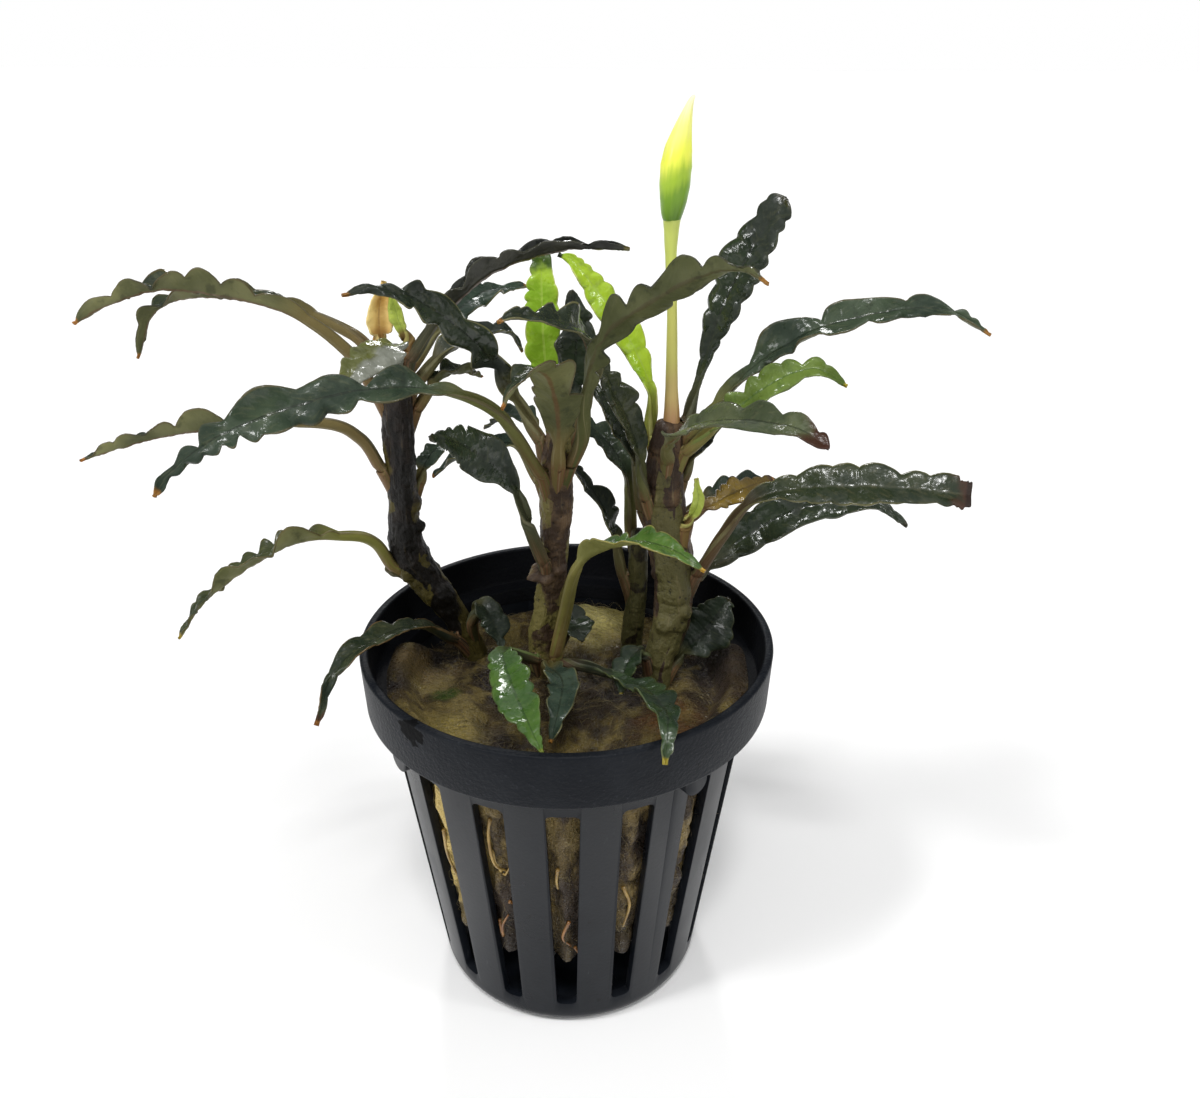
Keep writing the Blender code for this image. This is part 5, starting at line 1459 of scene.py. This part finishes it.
@dataclass
class NetCup:
    """The slotted net cup: a turned wall with a rim band, lugs under the band and a slotted floor."""

    height: float = 48.5
    rim_radius: float = 25.3
    rim_width: float = 1.1
    band_height: float = 7.05
    band_foot_radius: float = 25.0
    wall_top_radius: float = 22.6
    wall_foot_radius: float = 17.6
    wall: float = 1.15
    floor: float = 1.2
    corner: float = 2.4
    ledge: float = 43.4
    ledge_ease: float = 0.1
    band_ease: float = 0.25
    chamfer: float = 0.3
    slot_count: int = 16
    slot_top: float = 38.1
    slot_foot: float = 4.2
    slot_top_width: float = 3.9
    slot_foot_width: float = 2.5
    slot_depth: float = 7.0
    slot_corner: float = 0.6
    floor_slot_count: int = 8
    floor_slot_width: float = 1.8
    floor_slot_inner: float = 5.5
    floor_slot_outer: float = 13.5
    lug_angles: tuple = (38.0, 128.0, -142.0, -52.0)
    lug_width: float = 3.2
    lug_height: float = 3.0
    lug_reach: float = 24.1
    lug_root: float = 21.9
    steps: int = 192
    edge_round: float = 0.12
    edge_angle: float = 50.0

    def wall_radius(self, height: float) -> float:
        """Return the outer radius of the wall at a height."""
        share = height / (self.height - self.band_height)
        return self.wall_foot_radius + (self.wall_top_radius - self.wall_foot_radius) * share

    def arc(self, centre: tuple[float, float], radius: float, start: float, end: float,
            steps: int) -> list[tuple[float, float]]:
        """Return points on an arc in the profile plane, with angles in degrees."""
        angles = [math.radians(start + (end - start) * step / steps) for step in range(steps + 1)]
        return [(centre[0] + radius * math.cos(a), centre[1] + radius * math.sin(a)) for a in angles]

    def profile(self) -> list[tuple[float, float]]:
        """Return the section: up the inner side, over the lip and down the outer side."""
        wall_top = self.height - self.band_height
        inner_rim = self.rim_radius - self.rim_width
        inner_corner = self.corner - self.wall
        corner_x = self.wall_foot_radius - self.corner
        band_inner = self.band_foot_radius - self.rim_width
        ledge_inner = self.wall_radius(self.ledge) - self.wall
        lip = self.height - self.chamfer
        step, ease = self.ledge_ease, self.band_ease
        points = [(0.0, self.floor), (self.floor_slot_outer, self.floor)]
        points += self.arc((corner_x, self.floor + inner_corner), inner_corner, -90.0, 0.0, 5)
        points += [(ledge_inner, self.ledge - step), (ledge_inner + 1.5 * step, self.ledge + step)]
        points += [(band_inner - ease, self.ledge + 3 * step), (band_inner, self.ledge + 7 * step)]
        points += self.arc((inner_rim + self.chamfer, lip), self.chamfer, 180.0, 90.0, 3)
        points += self.arc((self.rim_radius - self.chamfer, lip), self.chamfer, 90.0, 0.0, 4)
        points += [(self.band_foot_radius + 0.2 * step, wall_top + ease + step)]
        points += self.arc((self.band_foot_radius - ease, wall_top + ease), ease, 0.0, -90.0, 3)
        points += [(self.wall_top_radius + ease, wall_top), (self.wall_top_radius, wall_top - ease)]
        points += self.arc((corner_x, self.corner), self.corner, 0.0, -90.0, 8)
        return points + [(0.0, 0.0)]

    def turned_wall(self) -> bpy.types.Object:
        """Spin the section round the cup's axis."""
        bm = bmesh.new()
        verts = [bm.verts.new((x * MM, 0.0, z * MM)) for x, z in self.profile()]
        edges = [bm.edges.new(pair) for pair in zip(verts, verts[1:])]
        bmesh.ops.spin(bm, geom=verts + edges, cent=(0, 0, 0), axis=(0, 0, 1), angle=math.tau,
                       steps=self.steps, use_merge=True)
        bmesh.ops.remove_doubles(bm, verts=bm.verts, dist=MERGE_DISTANCE)
        bmesh.ops.recalc_face_normals(bm, faces=bm.faces)
        return object_from(bm, "net_cup_wall")

    def cutters(self) -> bpy.types.Object:
        """Return one object that holds the cutters of all slots."""
        bm = bmesh.new()
        for index in range(self.slot_count):
            self.add_slot(bm, math.tau * index / self.slot_count)
        length = self.floor_slot_outer - self.floor_slot_inner
        middle = (self.floor_slot_outer + self.floor_slot_inner) / 2
        for index in range(self.floor_slot_count):
            verts = bmesh.ops.create_cube(bm, size=MM)["verts"]
            bmesh.ops.scale(bm, vec=(length, self.floor_slot_width, self.floor * 3), verts=verts)
            bmesh.ops.translate(bm, vec=(middle * MM, 0.0, self.floor / 2 * MM), verts=verts)
            turn = Matrix.Rotation(math.tau * (index + 0.5) / self.floor_slot_count, 3, "Z")
            bmesh.ops.rotate(bm, cent=(0, 0, 0), matrix=turn, verts=verts)
        return object_from(bm, "slot_cutters")

    def add_slot(self, bm: bmesh.types.BMesh, angle: float) -> None:
        """Add one tapered slot cutter with round corners at an angle.

        Args:
            bm: The bmesh that holds the cutters.
            angle: The angle, in radians.
        """
        verts = bmesh.ops.create_cube(bm, size=1.0)["verts"]
        for vert in verts:
            upper = vert.co.z > 0.0
            width = self.slot_top_width if upper else self.slot_foot_width
            height = self.slot_top if upper else self.slot_foot
            depth = vert.co.y * self.slot_depth - self.wall_radius(height)
            vert.co = Vector((vert.co.x * width, depth, height)) * MM
        edges = dict.fromkeys(edge for vert in verts for edge in vert.link_edges)
        long_edges = [e for e in edges if abs(e.verts[0].co.y - e.verts[1].co.y) > self.slot_depth / 2 * MM]
        made = bmesh.ops.bevel(bm, geom=long_edges, offset=self.slot_corner * MM, segments=4, profile=0.5,
                               affect="EDGES", material=-1)
        island = set(made["verts"]) | {vert for vert in verts if vert.is_valid}
        bmesh.ops.rotate(bm, cent=(0, 0, 0), matrix=Matrix.Rotation(angle, 3, "Z"), verts=list(island))

    def lugs(self) -> bpy.types.Object:
        """Return the round footed lugs that stand out under the band."""
        bm = bmesh.new()
        half = self.lug_width / 2
        top = self.height - self.band_height + self.chamfer
        foot = self.arc((0.0, top - self.lug_height + half), half, 0.0, -180.0, 14)
        for angle in self.lug_angles:
            verts = [bm.verts.new((x * MM, -self.lug_root * MM, z * MM))
                     for x, z in [(half, top), *foot, (-half, top)]]
            face = bm.faces.new(verts)
            made = bmesh.ops.extrude_face_region(bm, geom=[face])["geom"]
            moved = [item for item in made if isinstance(item, bmesh.types.BMVert)]
            bmesh.ops.translate(bm, vec=(0.0, (self.lug_root - self.lug_reach) * MM, 0.0), verts=moved)
            bmesh.ops.rotate(bm, cent=(0, 0, 0), matrix=Matrix.Rotation(math.radians(angle), 3, "Z"),
                             verts=verts + moved)
        bmesh.ops.recalc_face_normals(bm, faces=bm.faces)
        return object_from(bm, "lug_solids")

    def build(self) -> bpy.types.Object:
        """Join the lugs, cut the slots and round every edge a little."""
        cup = self.turned_wall()
        for tool, operation in ((self.lugs(), "UNION"), (self.cutters(), "DIFFERENCE")):
            modifier = cup.modifiers.new(operation.lower(), "BOOLEAN")
            modifier.object = tool
            modifier.operation = operation
            modifier.solver = "EXACT"
            bake_modifiers(cup)
            bpy.data.objects.remove(tool)
        bevel = cup.modifiers.new("edges", "BEVEL")
        bevel.width = self.edge_round * MM
        bevel.segments = 2
        bevel.limit_method = "ANGLE"
        bevel.angle_limit = math.radians(self.edge_angle)
        bake_modifiers(cup)
        cup.data.set_sharp_from_angle(angle=SMOOTH_ANGLE)
        return cup

    def dress(self) -> None:
        """Build the cup and give it its plastic."""
        finish_piece(self.build(), [MouldedPlastic().material()], "cup", "net_pot")


def bake_modifiers(piece: bpy.types.Object) -> None:
    """Turn a piece's modifiers into its mesh.

    Args:
        piece: The object, whose modifiers are cleared.
    """
    graph = bpy.context.evaluated_depsgraph_get()
    graph.update()
    mesh = bpy.data.meshes.new_from_object(piece.evaluated_get(graph))
    mesh.name = piece.name
    piece.modifiers.clear()
    piece.data = mesh


@dataclass
class WoolPlug:
    """The lumpy plug of mineral wool, with fine fibres on it.

    mounds and hollows are rows of x, y, spread and height. The wool laps over the cup's ledge on the
    two sides. top_share and side_share are where the skin's rows turn from top to side and underside.
    """

    cup: NetCup
    top: float = 40.6
    foot: float = 12.0
    clearance: float = 0.4
    lump: float = 0.9
    grain: float = 0.16
    offset: Point = (3.1, 7.7, 1.3)
    mounds: tuple = ((3.0, 15.0, 4.2, 2.8), (12.0, -9.0, 5.0, 1.2), (-14.0, -6.0, 4.5, 1.0))
    hollows: tuple = ((1.5, -12.0, 3.2, 1.6), (4.5, 5.5, 2.6, 1.4), (-7.0, 12.0, 3.0, 1.4),
                      (-8.5, -0.5, 2.4, 0.8), (16.0, 6.0, 4.0, 1.5))
    around: int = 220
    rows: int = 150
    top_share: float = 0.55
    side_share: float = 0.93
    ledge_reach: float = 1.7
    lap_rise: float = 0.9
    edge_drop: float = 0.8
    foot_lump: float = 1.8
    fibre_count: int = 1500
    fibre_shares: tuple = (0.0, 0.25, 0.5, 0.75, 1.0)
    seed: int = 7

    def height(self, x: float, y: float) -> float:
        """Return the height of the wool at a place, with its clumps.

        Args:
            x: The place to the right, in millimetres.
            y: The place to the back.

        Returns:
            The height in millimetres.
        """
        spot = Vector((x, y, 0.0))
        made = self.top + self.lump * noise.noise(spot * self.grain + Vector(self.offset))
        for mound_x, mound_y, spread, rise in self.mounds:
            made += rise * math.exp(-((math.hypot(x - mound_x, y - mound_y) / spread) ** 2))
        for hollow_x, hollow_y, spread, drop in self.hollows:
            made -= drop * math.exp(-((math.hypot(x - hollow_x, y - hollow_y) / spread) ** 2))
        clump = noise.noise(spot * 0.3 + Vector((0.0, 0.0, 4.0)))
        small = 0.3 * noise.noise(spot * 0.8) + 0.06 * noise.noise(spot * 3.3)
        return made + 0.9 * clump + small

    def side_radius(self, angle: float, height: float) -> float:
        """Return the plug's radius at an angle and a height: it swells a little into the slots.

        Args:
            angle: The angle, in radians.
            height: The height, in millimetres.

        Returns:
            The radius in millimetres.
        """
        plain = self.cup.wall_radius(height) - self.cup.wall - self.clearance
        turn = angle / math.tau * self.cup.slot_count
        to_slot = abs(turn - round(turn))
        bulge = 1.05 * math.exp(-((to_slot / 0.15) ** 2))
        pressed = soft_step((height - self.cup.slot_top + 2.0) / 2.0)
        spot = Vector((math.cos(angle) * plain, math.sin(angle) * plain, height))
        rough = noise.turbulence(spot * 0.35, 4, False) * 0.9
        hung = Vector((spot.x * 0.5, spot.y * 0.5, height * 0.12))
        recess = max(0.0, rough) * 1.2 + 1.1 * abs(noise.noise(hung)) ** 0.7 - 0.2 - bulge
        return plain + self.clearance * 0.8 * pressed - recess * (1.0 - pressed)

    def brim(self, angle: float) -> float:
        """Return how far the wool laps over the cup's inner ledge at an angle."""
        ragged = 0.8 + 0.4 * noise.noise(Vector((math.cos(angle) * 3, math.sin(angle) * 3, 5.0)))
        return self.ledge_reach * ragged * self.lap(angle)

    def lap(self, angle: float) -> float:
        """Return how far the wool is raised over the ledge at an angle, which it is on the two sides."""
        return soft_step((abs(math.cos(angle)) - 0.55) * 4.0) * soft_step((0.45 - math.sin(angle)) * 4.0)

    def top_point(self, angle: float, share: float) -> tuple[float, float, float]:
        """Return a point of the top at a share of the way from its centre to its edge.

        Args:
            angle: The angle, in radians.
            share: The share of the way out.

        Returns:
            x, y and z in millimetres.
        """
        radius = (self.side_radius(angle, self.top) + self.brim(angle)) * share
        x, y = radius * math.cos(angle), radius * math.sin(angle)
        lap = self.lap(angle) * soft_step((share - 0.8) / 0.12)
        level = self.height(x, y)
        return x, y, level + (self.cup.ledge + self.lap_rise - level) * lap - self.edge_drop * share ** 24

    def foot_height(self, angle: float) -> float:
        """Return the height of the ragged underside at an angle."""
        spot = Vector((math.cos(angle) * 3, math.sin(angle) * 3, 0.0))
        return max(self.foot, self.foot + self.foot_lump * noise.noise(spot))

    def skin_point(self, across: float, row: float) -> Vector:
        """Return a point of the skin.

        Args:
            across: The share of a turn round the plug, from the front.
            row: The share of the way over the top, down the side and in along the underside.

        Returns:
            The point in millimetres.
        """
        angle = math.tau * across - math.pi / 2
        if row <= self.top_share:
            return Vector(self.top_point(angle, min(1.0, row / self.top_share)))
        z = self.foot_height(angle)
        if row <= self.side_share:
            share = (row - self.top_share) / (self.side_share - self.top_share)
            high = self.top_point(angle, 1.0)[2]
            z = high + (z - high) * share
            radius = self.side_radius(angle, z) + self.brim(angle) * max(0.0, 1.0 - share * 9.0)
        else:
            radius = self.side_radius(angle, self.foot) * (1.0 - row) / (1.0 - self.side_share)
        return Vector((radius * math.cos(angle), radius * math.sin(angle), z))

    def build(self) -> bpy.types.Object:
        """Build the plug as one closed skin: top, side and underside."""
        plug = drape_grid("wool_surface", self.around, self.rows, self.skin_point)
        bm = bmesh.new()
        bm.from_mesh(plug.data)
        bmesh.ops.recalc_face_normals(bm, faces=bm.faces)
        bm.to_mesh(plug.data)
        bm.free()
        return plug

    def top_fibre(self, rng: random.Random, edge: float) -> list[Vector]:
        """Return a short curved line over the wool's top.

        Args:
            rng: The source of chance.
            edge: The radius that the line stays within.

        Returns:
            The line's points, in millimetres.
        """
        radius = edge * math.sqrt(rng.random())
        angle = rng.uniform(0.0, math.tau)
        x, y = radius * math.cos(angle), radius * math.sin(angle)
        heading = rng.uniform(0.0, math.tau)
        length = rng.uniform(1.2, 4.5)
        bend = rng.uniform(-1.2, 1.2)
        lift = rng.uniform(0.05, 0.5) if rng.random() < 0.85 else rng.uniform(0.6, 1.6)
        points = []
        for share in self.fibre_shares:
            turned = heading + bend * share
            px = x + length * share * math.cos(turned)
            py = y + length * share * math.sin(turned)
            limit = max(1.0, math.hypot(px, py) / edge)
            px, py = px / limit, py / limit
            points.append(Vector((px, py, self.height(px, py) + 0.05 + lift * math.sin(math.pi * share))))
        return points

    def slot_fibre(self, rng: random.Random) -> list[Vector]:
        """Return the points, in millimetres, of a short line down the wool behind one of the slots.

        Args:
            rng: The source of chance.

        Returns:
            The line's points.
        """
        slot = rng.randrange(self.cup.slot_count)
        angle = math.tau * slot / self.cup.slot_count - math.pi / 2 + rng.uniform(-0.07, 0.07)
        height = rng.uniform(self.foot + 1.0, self.cup.slot_top - 0.5)
        lean = rng.uniform(-0.09, 0.09)
        drop = rng.uniform(-3.5, 3.5)
        points = []
        for share in self.fibre_shares:
            turned = angle + lean * math.sin(share * 2.2)
            z = min(max(height + drop * share, self.foot + 0.6), self.cup.slot_top - 0.3)
            radius = self.side_radius(turned, z) + 0.08 + 0.25 * math.sin(math.pi * share)
            points.append(Vector((radius * math.cos(turned), radius * math.sin(turned), z)))
        return points

    def fibres(self) -> bpy.types.Object:
        """Scatter short curved fibres over the wool's top and in the slots."""
        rng = random.Random(self.seed)
        strands = StrandBundle("wool_fibres", 3, 6)
        edge = self.side_radius(0.0, self.top) - 0.8
        for _ in range(self.fibre_count):
            strands.add(self.top_fibre(rng, edge), rng.uniform(0.014, 0.026))
        for _ in range(self.fibre_count // 4):
            strands.add(self.slot_fibre(rng), rng.uniform(0.016, 0.035))
        return strands.build()

    def dress(self) -> None:
        """Build the plug and its fibres and give them their finishes."""
        finish_piece(self.build(), [WetWool().material()], "wool", "wool_plug")
        hairs = StrandFinish("fibre_skin", (0.3, 0.24, 0.1), (0.07, 0.045, 0.018))
        finish_piece(self.fibres(), [hairs.material()], "wool")


class StrandBundle:
    """Many thin round strands in one mesh, each a copy of one short tube."""

    def __init__(self, name: str, sides: int, rings: int) -> None:
        """Make the tube that every strand copies."""
        self.name = name
        self.rings = rings
        self.bm = bmesh.new()
        pattern = bmesh.new()
        bmesh.ops.create_circle(pattern, cap_ends=True, segments=sides, radius=1.0)
        faces = list(pattern.faces)
        for _ in range(rings):
            faces = [f for f in bmesh.ops.extrude_face_region(pattern, geom=faces)["geom"]
                     if isinstance(f, bmesh.types.BMFace)]
            bmesh.ops.translate(pattern, vec=(0, 0, 1), verts=list({v for f in faces for v in f.verts}))
        inner = [f for f in pattern.faces
                 if len(f.verts) == sides and 0.5 < f.calc_center_median().z < rings - 0.5]
        bmesh.ops.delete(pattern, geom=inner, context="FACES_ONLY")
        bmesh.ops.recalc_face_normals(pattern, faces=pattern.faces)
        self.pattern = bpy.data.meshes.new(f"{name}_pattern")
        pattern.to_mesh(self.pattern)
        pattern.free()

    def add(self, points: list[Vector], radius: float, taper: float = 0.35) -> None:
        """Lay one strand along points.

        Args:
            points: Its line, in millimetres.
            radius: Its radius at the thick end, in millimetres.
            taper: The share of the radius left at the far end.
        """
        path = Path(points, self.rings * 3)
        before = len(self.bm.verts)
        self.bm.from_mesh(self.pattern)
        self.bm.verts.ensure_lookup_table()
        frames = {}
        for vert in self.bm.verts[before:]:
            step = round(vert.co.z)
            if step not in frames:
                share = step / self.rings
                heading = path.heading(share, 0.05)
                side = heading.orthogonal().normalized()
                frames[step] = (path.at(share), side, heading.cross(side), 1.0 + (taper - 1.0) * share)
            centre, side, front, size = frames[step]
            vert.co = (centre + (side * vert.co.x + front * vert.co.y) * radius * size) * MM

    def build(self) -> bpy.types.Object:
        """Return the bundle as one object."""
        bpy.data.meshes.remove(self.pattern)
        return object_from(self.bm, self.name)


@dataclass(frozen=True)
class RootKind:
    """Roots of one colour: their routes as angles from the front and heights, and how they lie."""

    name: str
    skin: StrandFinish
    stand: float
    radius: float
    routes: tuple[tuple[tuple[float, float], ...], ...]


PALE_ROOTS = RootKind("pale_roots", StrandFinish("pale_root_skin", (0.42, 0.28, 0.07), (0.22, 0.13, 0.03)),
                      0.25, 0.26,
                      (((-24.0, 35.0), (-25.0, 32.0), (-23.0, 28.5), (-20.5, 26.5)),
                       ((-25.5, 29.5), (-22.0, 26.0), (-19.0, 27.5)),
                       ((-2.0, 29.0), (-2.6, 27.0), (-2.2, 25.5)),
                       ((-44.0, 30.0), (-46.0, 25.0), (-43.5, 21.0)),
                       ((21.0, 24.0), (23.5, 21.0), (21.5, 17.5))))
ORANGE_ROOTS = RootKind("orange_roots",
                        StrandFinish("orange_root_skin", (0.27, 0.12, 0.025), (0.13, 0.05, 0.012)),
                        0.3, 0.22,
                        (((-26.0, 17.5), (-24.0, 15.5), (-23.5, 17.5), (-21.0, 19.5)),
                         ((3.5, 14.5), (6.0, 12.6)),
                         ((-20.0, 22.0), (-17.5, 21.0)),
                         ((1.5, 20.0), (-1.0, 17.0), (2.0, 15.0))))


@dataclass
class Roots:
    """Pale and orange roots that show in the slots."""

    wool: WoolPlug
    kinds: tuple[RootKind, ...] = (PALE_ROOTS, ORANGE_ROOTS)
    sides: int = 8
    rings: int = 14
    taper: float = 0.5

    def route(self, marks: tuple, stand: float) -> list[Vector]:
        """Return a root's points from angles in degrees and heights.

        Args:
            marks: Pairs of the angle from the front and the height.
            stand: How far the root stands off the wool, in millimetres.

        Returns:
            Points just over the wool's side.
        """
        points = []
        for turn, height in marks:
            angle = math.radians(turn) - math.pi / 2
            radius = self.wool.side_radius(angle, height) + stand
            points.append(Vector((radius * math.cos(angle), radius * math.sin(angle), height)))
        return points

    def dress(self) -> None:
        """Build each kind of root as one bundle."""
        for kind in self.kinds:
            bundle = StrandBundle(kind.name, self.sides, self.rings)
            for marks in kind.routes:
                bundle.add(self.route(marks, kind.stand), kind.radius, self.taper)
            finish_piece(bundle.build(), [kind.skin.material()], "wool")


@dataclass
class Studio:
    """The pale floor, the soft lights and the camera."""

    camera_place: Point = (4.0, -114.35, 116.39)
    camera_aim: Point = (4.0, 0.0, 60.0)
    camera_roll: float = 0.23
    focal_length: float = 32.1
    sensor_width: float = 36.0
    sky_light: float = 0.16
    floor_half: float = 3.0
    lamps: tuple = (((-0.45, -0.55, 1.0), 0.6, 70.0), ((0.5, -0.45, 1.0), 0.6, 70.0),
                    ((0.0, -0.42, 0.9), 0.95, 8.0), ((-0.1, 0.8, 0.6), 0.65, 9.0),
                    ((-0.85, -0.45, 0.3), 0.5, 9.0), ((0.8, -0.3, 0.6), 0.5, 9.0),
                    ((-0.5, -0.3, 0.8), 0.8, 8.0))
    floor_colour: Colour = (0.975, 0.972, 0.968)

    def floor(self) -> None:
        """Lay a plain pale floor under the cup."""
        bm = bmesh.new()
        bmesh.ops.create_grid(bm, x_segments=1, y_segments=1, size=self.floor_half)
        floor = object_from(bm, "studio_floor")
        bench = Bench("floor_paint")
        floor.data.materials.append(bench.shade(base_color=self.floor_colour, roughness=0.6))

    def sky(self) -> None:
        """Light the scene from all round with a white sky that the camera sees as plain white."""
        world = bpy.data.worlds.new("studio_sky")
        bpy.context.scene.world = world
        world.use_nodes = True
        nodes, links = world.node_tree.nodes, world.node_tree.links
        seen = nodes.new("ShaderNodeBackground")
        seen.inputs["Color"].default_value = (1.0, 1.0, 1.0, 1.0)
        glow = nodes["Background"]
        glow.inputs["Color"].default_value = (0.96, 0.98, 1.0, 1.0)
        glow.inputs["Strength"].default_value = self.sky_light
        rays = nodes.new("ShaderNodeLightPath")
        mix = nodes.new("ShaderNodeMixShader")
        links.new(rays.outputs["Is Camera Ray"], mix.inputs[0])
        links.new(glow.outputs[0], mix.inputs[1])
        links.new(seen.outputs[0], mix.inputs[2])
        links.new(mix.outputs[0], nodes["World Output"].inputs["Surface"])

    def sun(self, name: str, direction: Point, strength: float, width: float) -> None:
        """Add a distant soft light.

        Args:
            name: The light's name.
            direction: The way from the plant to the light.
            strength: Its power.
            width: Its angular size, in degrees.
        """
        light = bpy.data.lights.new(name, "SUN")
        light.energy = strength
        light.angle = math.radians(width)
        lamp = bpy.data.objects.new(name, light)
        lamp.rotation_euler = Vector(direction).to_track_quat("Z", "Y").to_euler()
        bpy.context.scene.collection.objects.link(lamp)

    def camera(self) -> None:
        """Set the camera at the photograph's viewing angle."""
        data = bpy.data.cameras.new("studio_camera")
        data.lens = self.focal_length
        data.sensor_width = self.sensor_width
        data.clip_start = 0.01
        camera = bpy.data.objects.new("studio_camera", data)
        place = Vector(self.camera_place) * MM
        aim = Vector(self.camera_aim) * MM
        turned = (aim - place).to_track_quat("-Z", "Y").to_matrix()
        turned @= Matrix.Rotation(math.radians(self.camera_roll), 3, "Z")
        camera.matrix_world = Matrix.Translation(place) @ turned.to_4x4()
        bpy.context.scene.collection.objects.link(camera)
        bpy.context.scene.camera = camera

    def dress(self) -> None:
        """Set up floor, sky, lights and camera."""
        self.floor()
        self.sky()
        for number, (direction, strength, width) in enumerate(self.lamps):
            self.sun(f"ceiling_lamp_{number + 1}", direction, strength, width)
        self.camera()
        bpy.context.scene.view_settings.view_transform = "Standard"


def main() -> None:
    """Build and dress the whole plant in its studio."""
    logging.basicConfig(level=logging.INFO, format="%(message)s")
    Studio().dress()
    cup = NetCup()
    cup.dress()
    wool = WoolPlug(cup)
    wool.dress()
    Roots(wool).dress()
    for stem in STEMS:
        stem.dress()
    FlowerSpike().dress()
    Foliage(LEAVES, STEMS, LeafMaker()).dress()


if __name__ == "__main__":
    main()
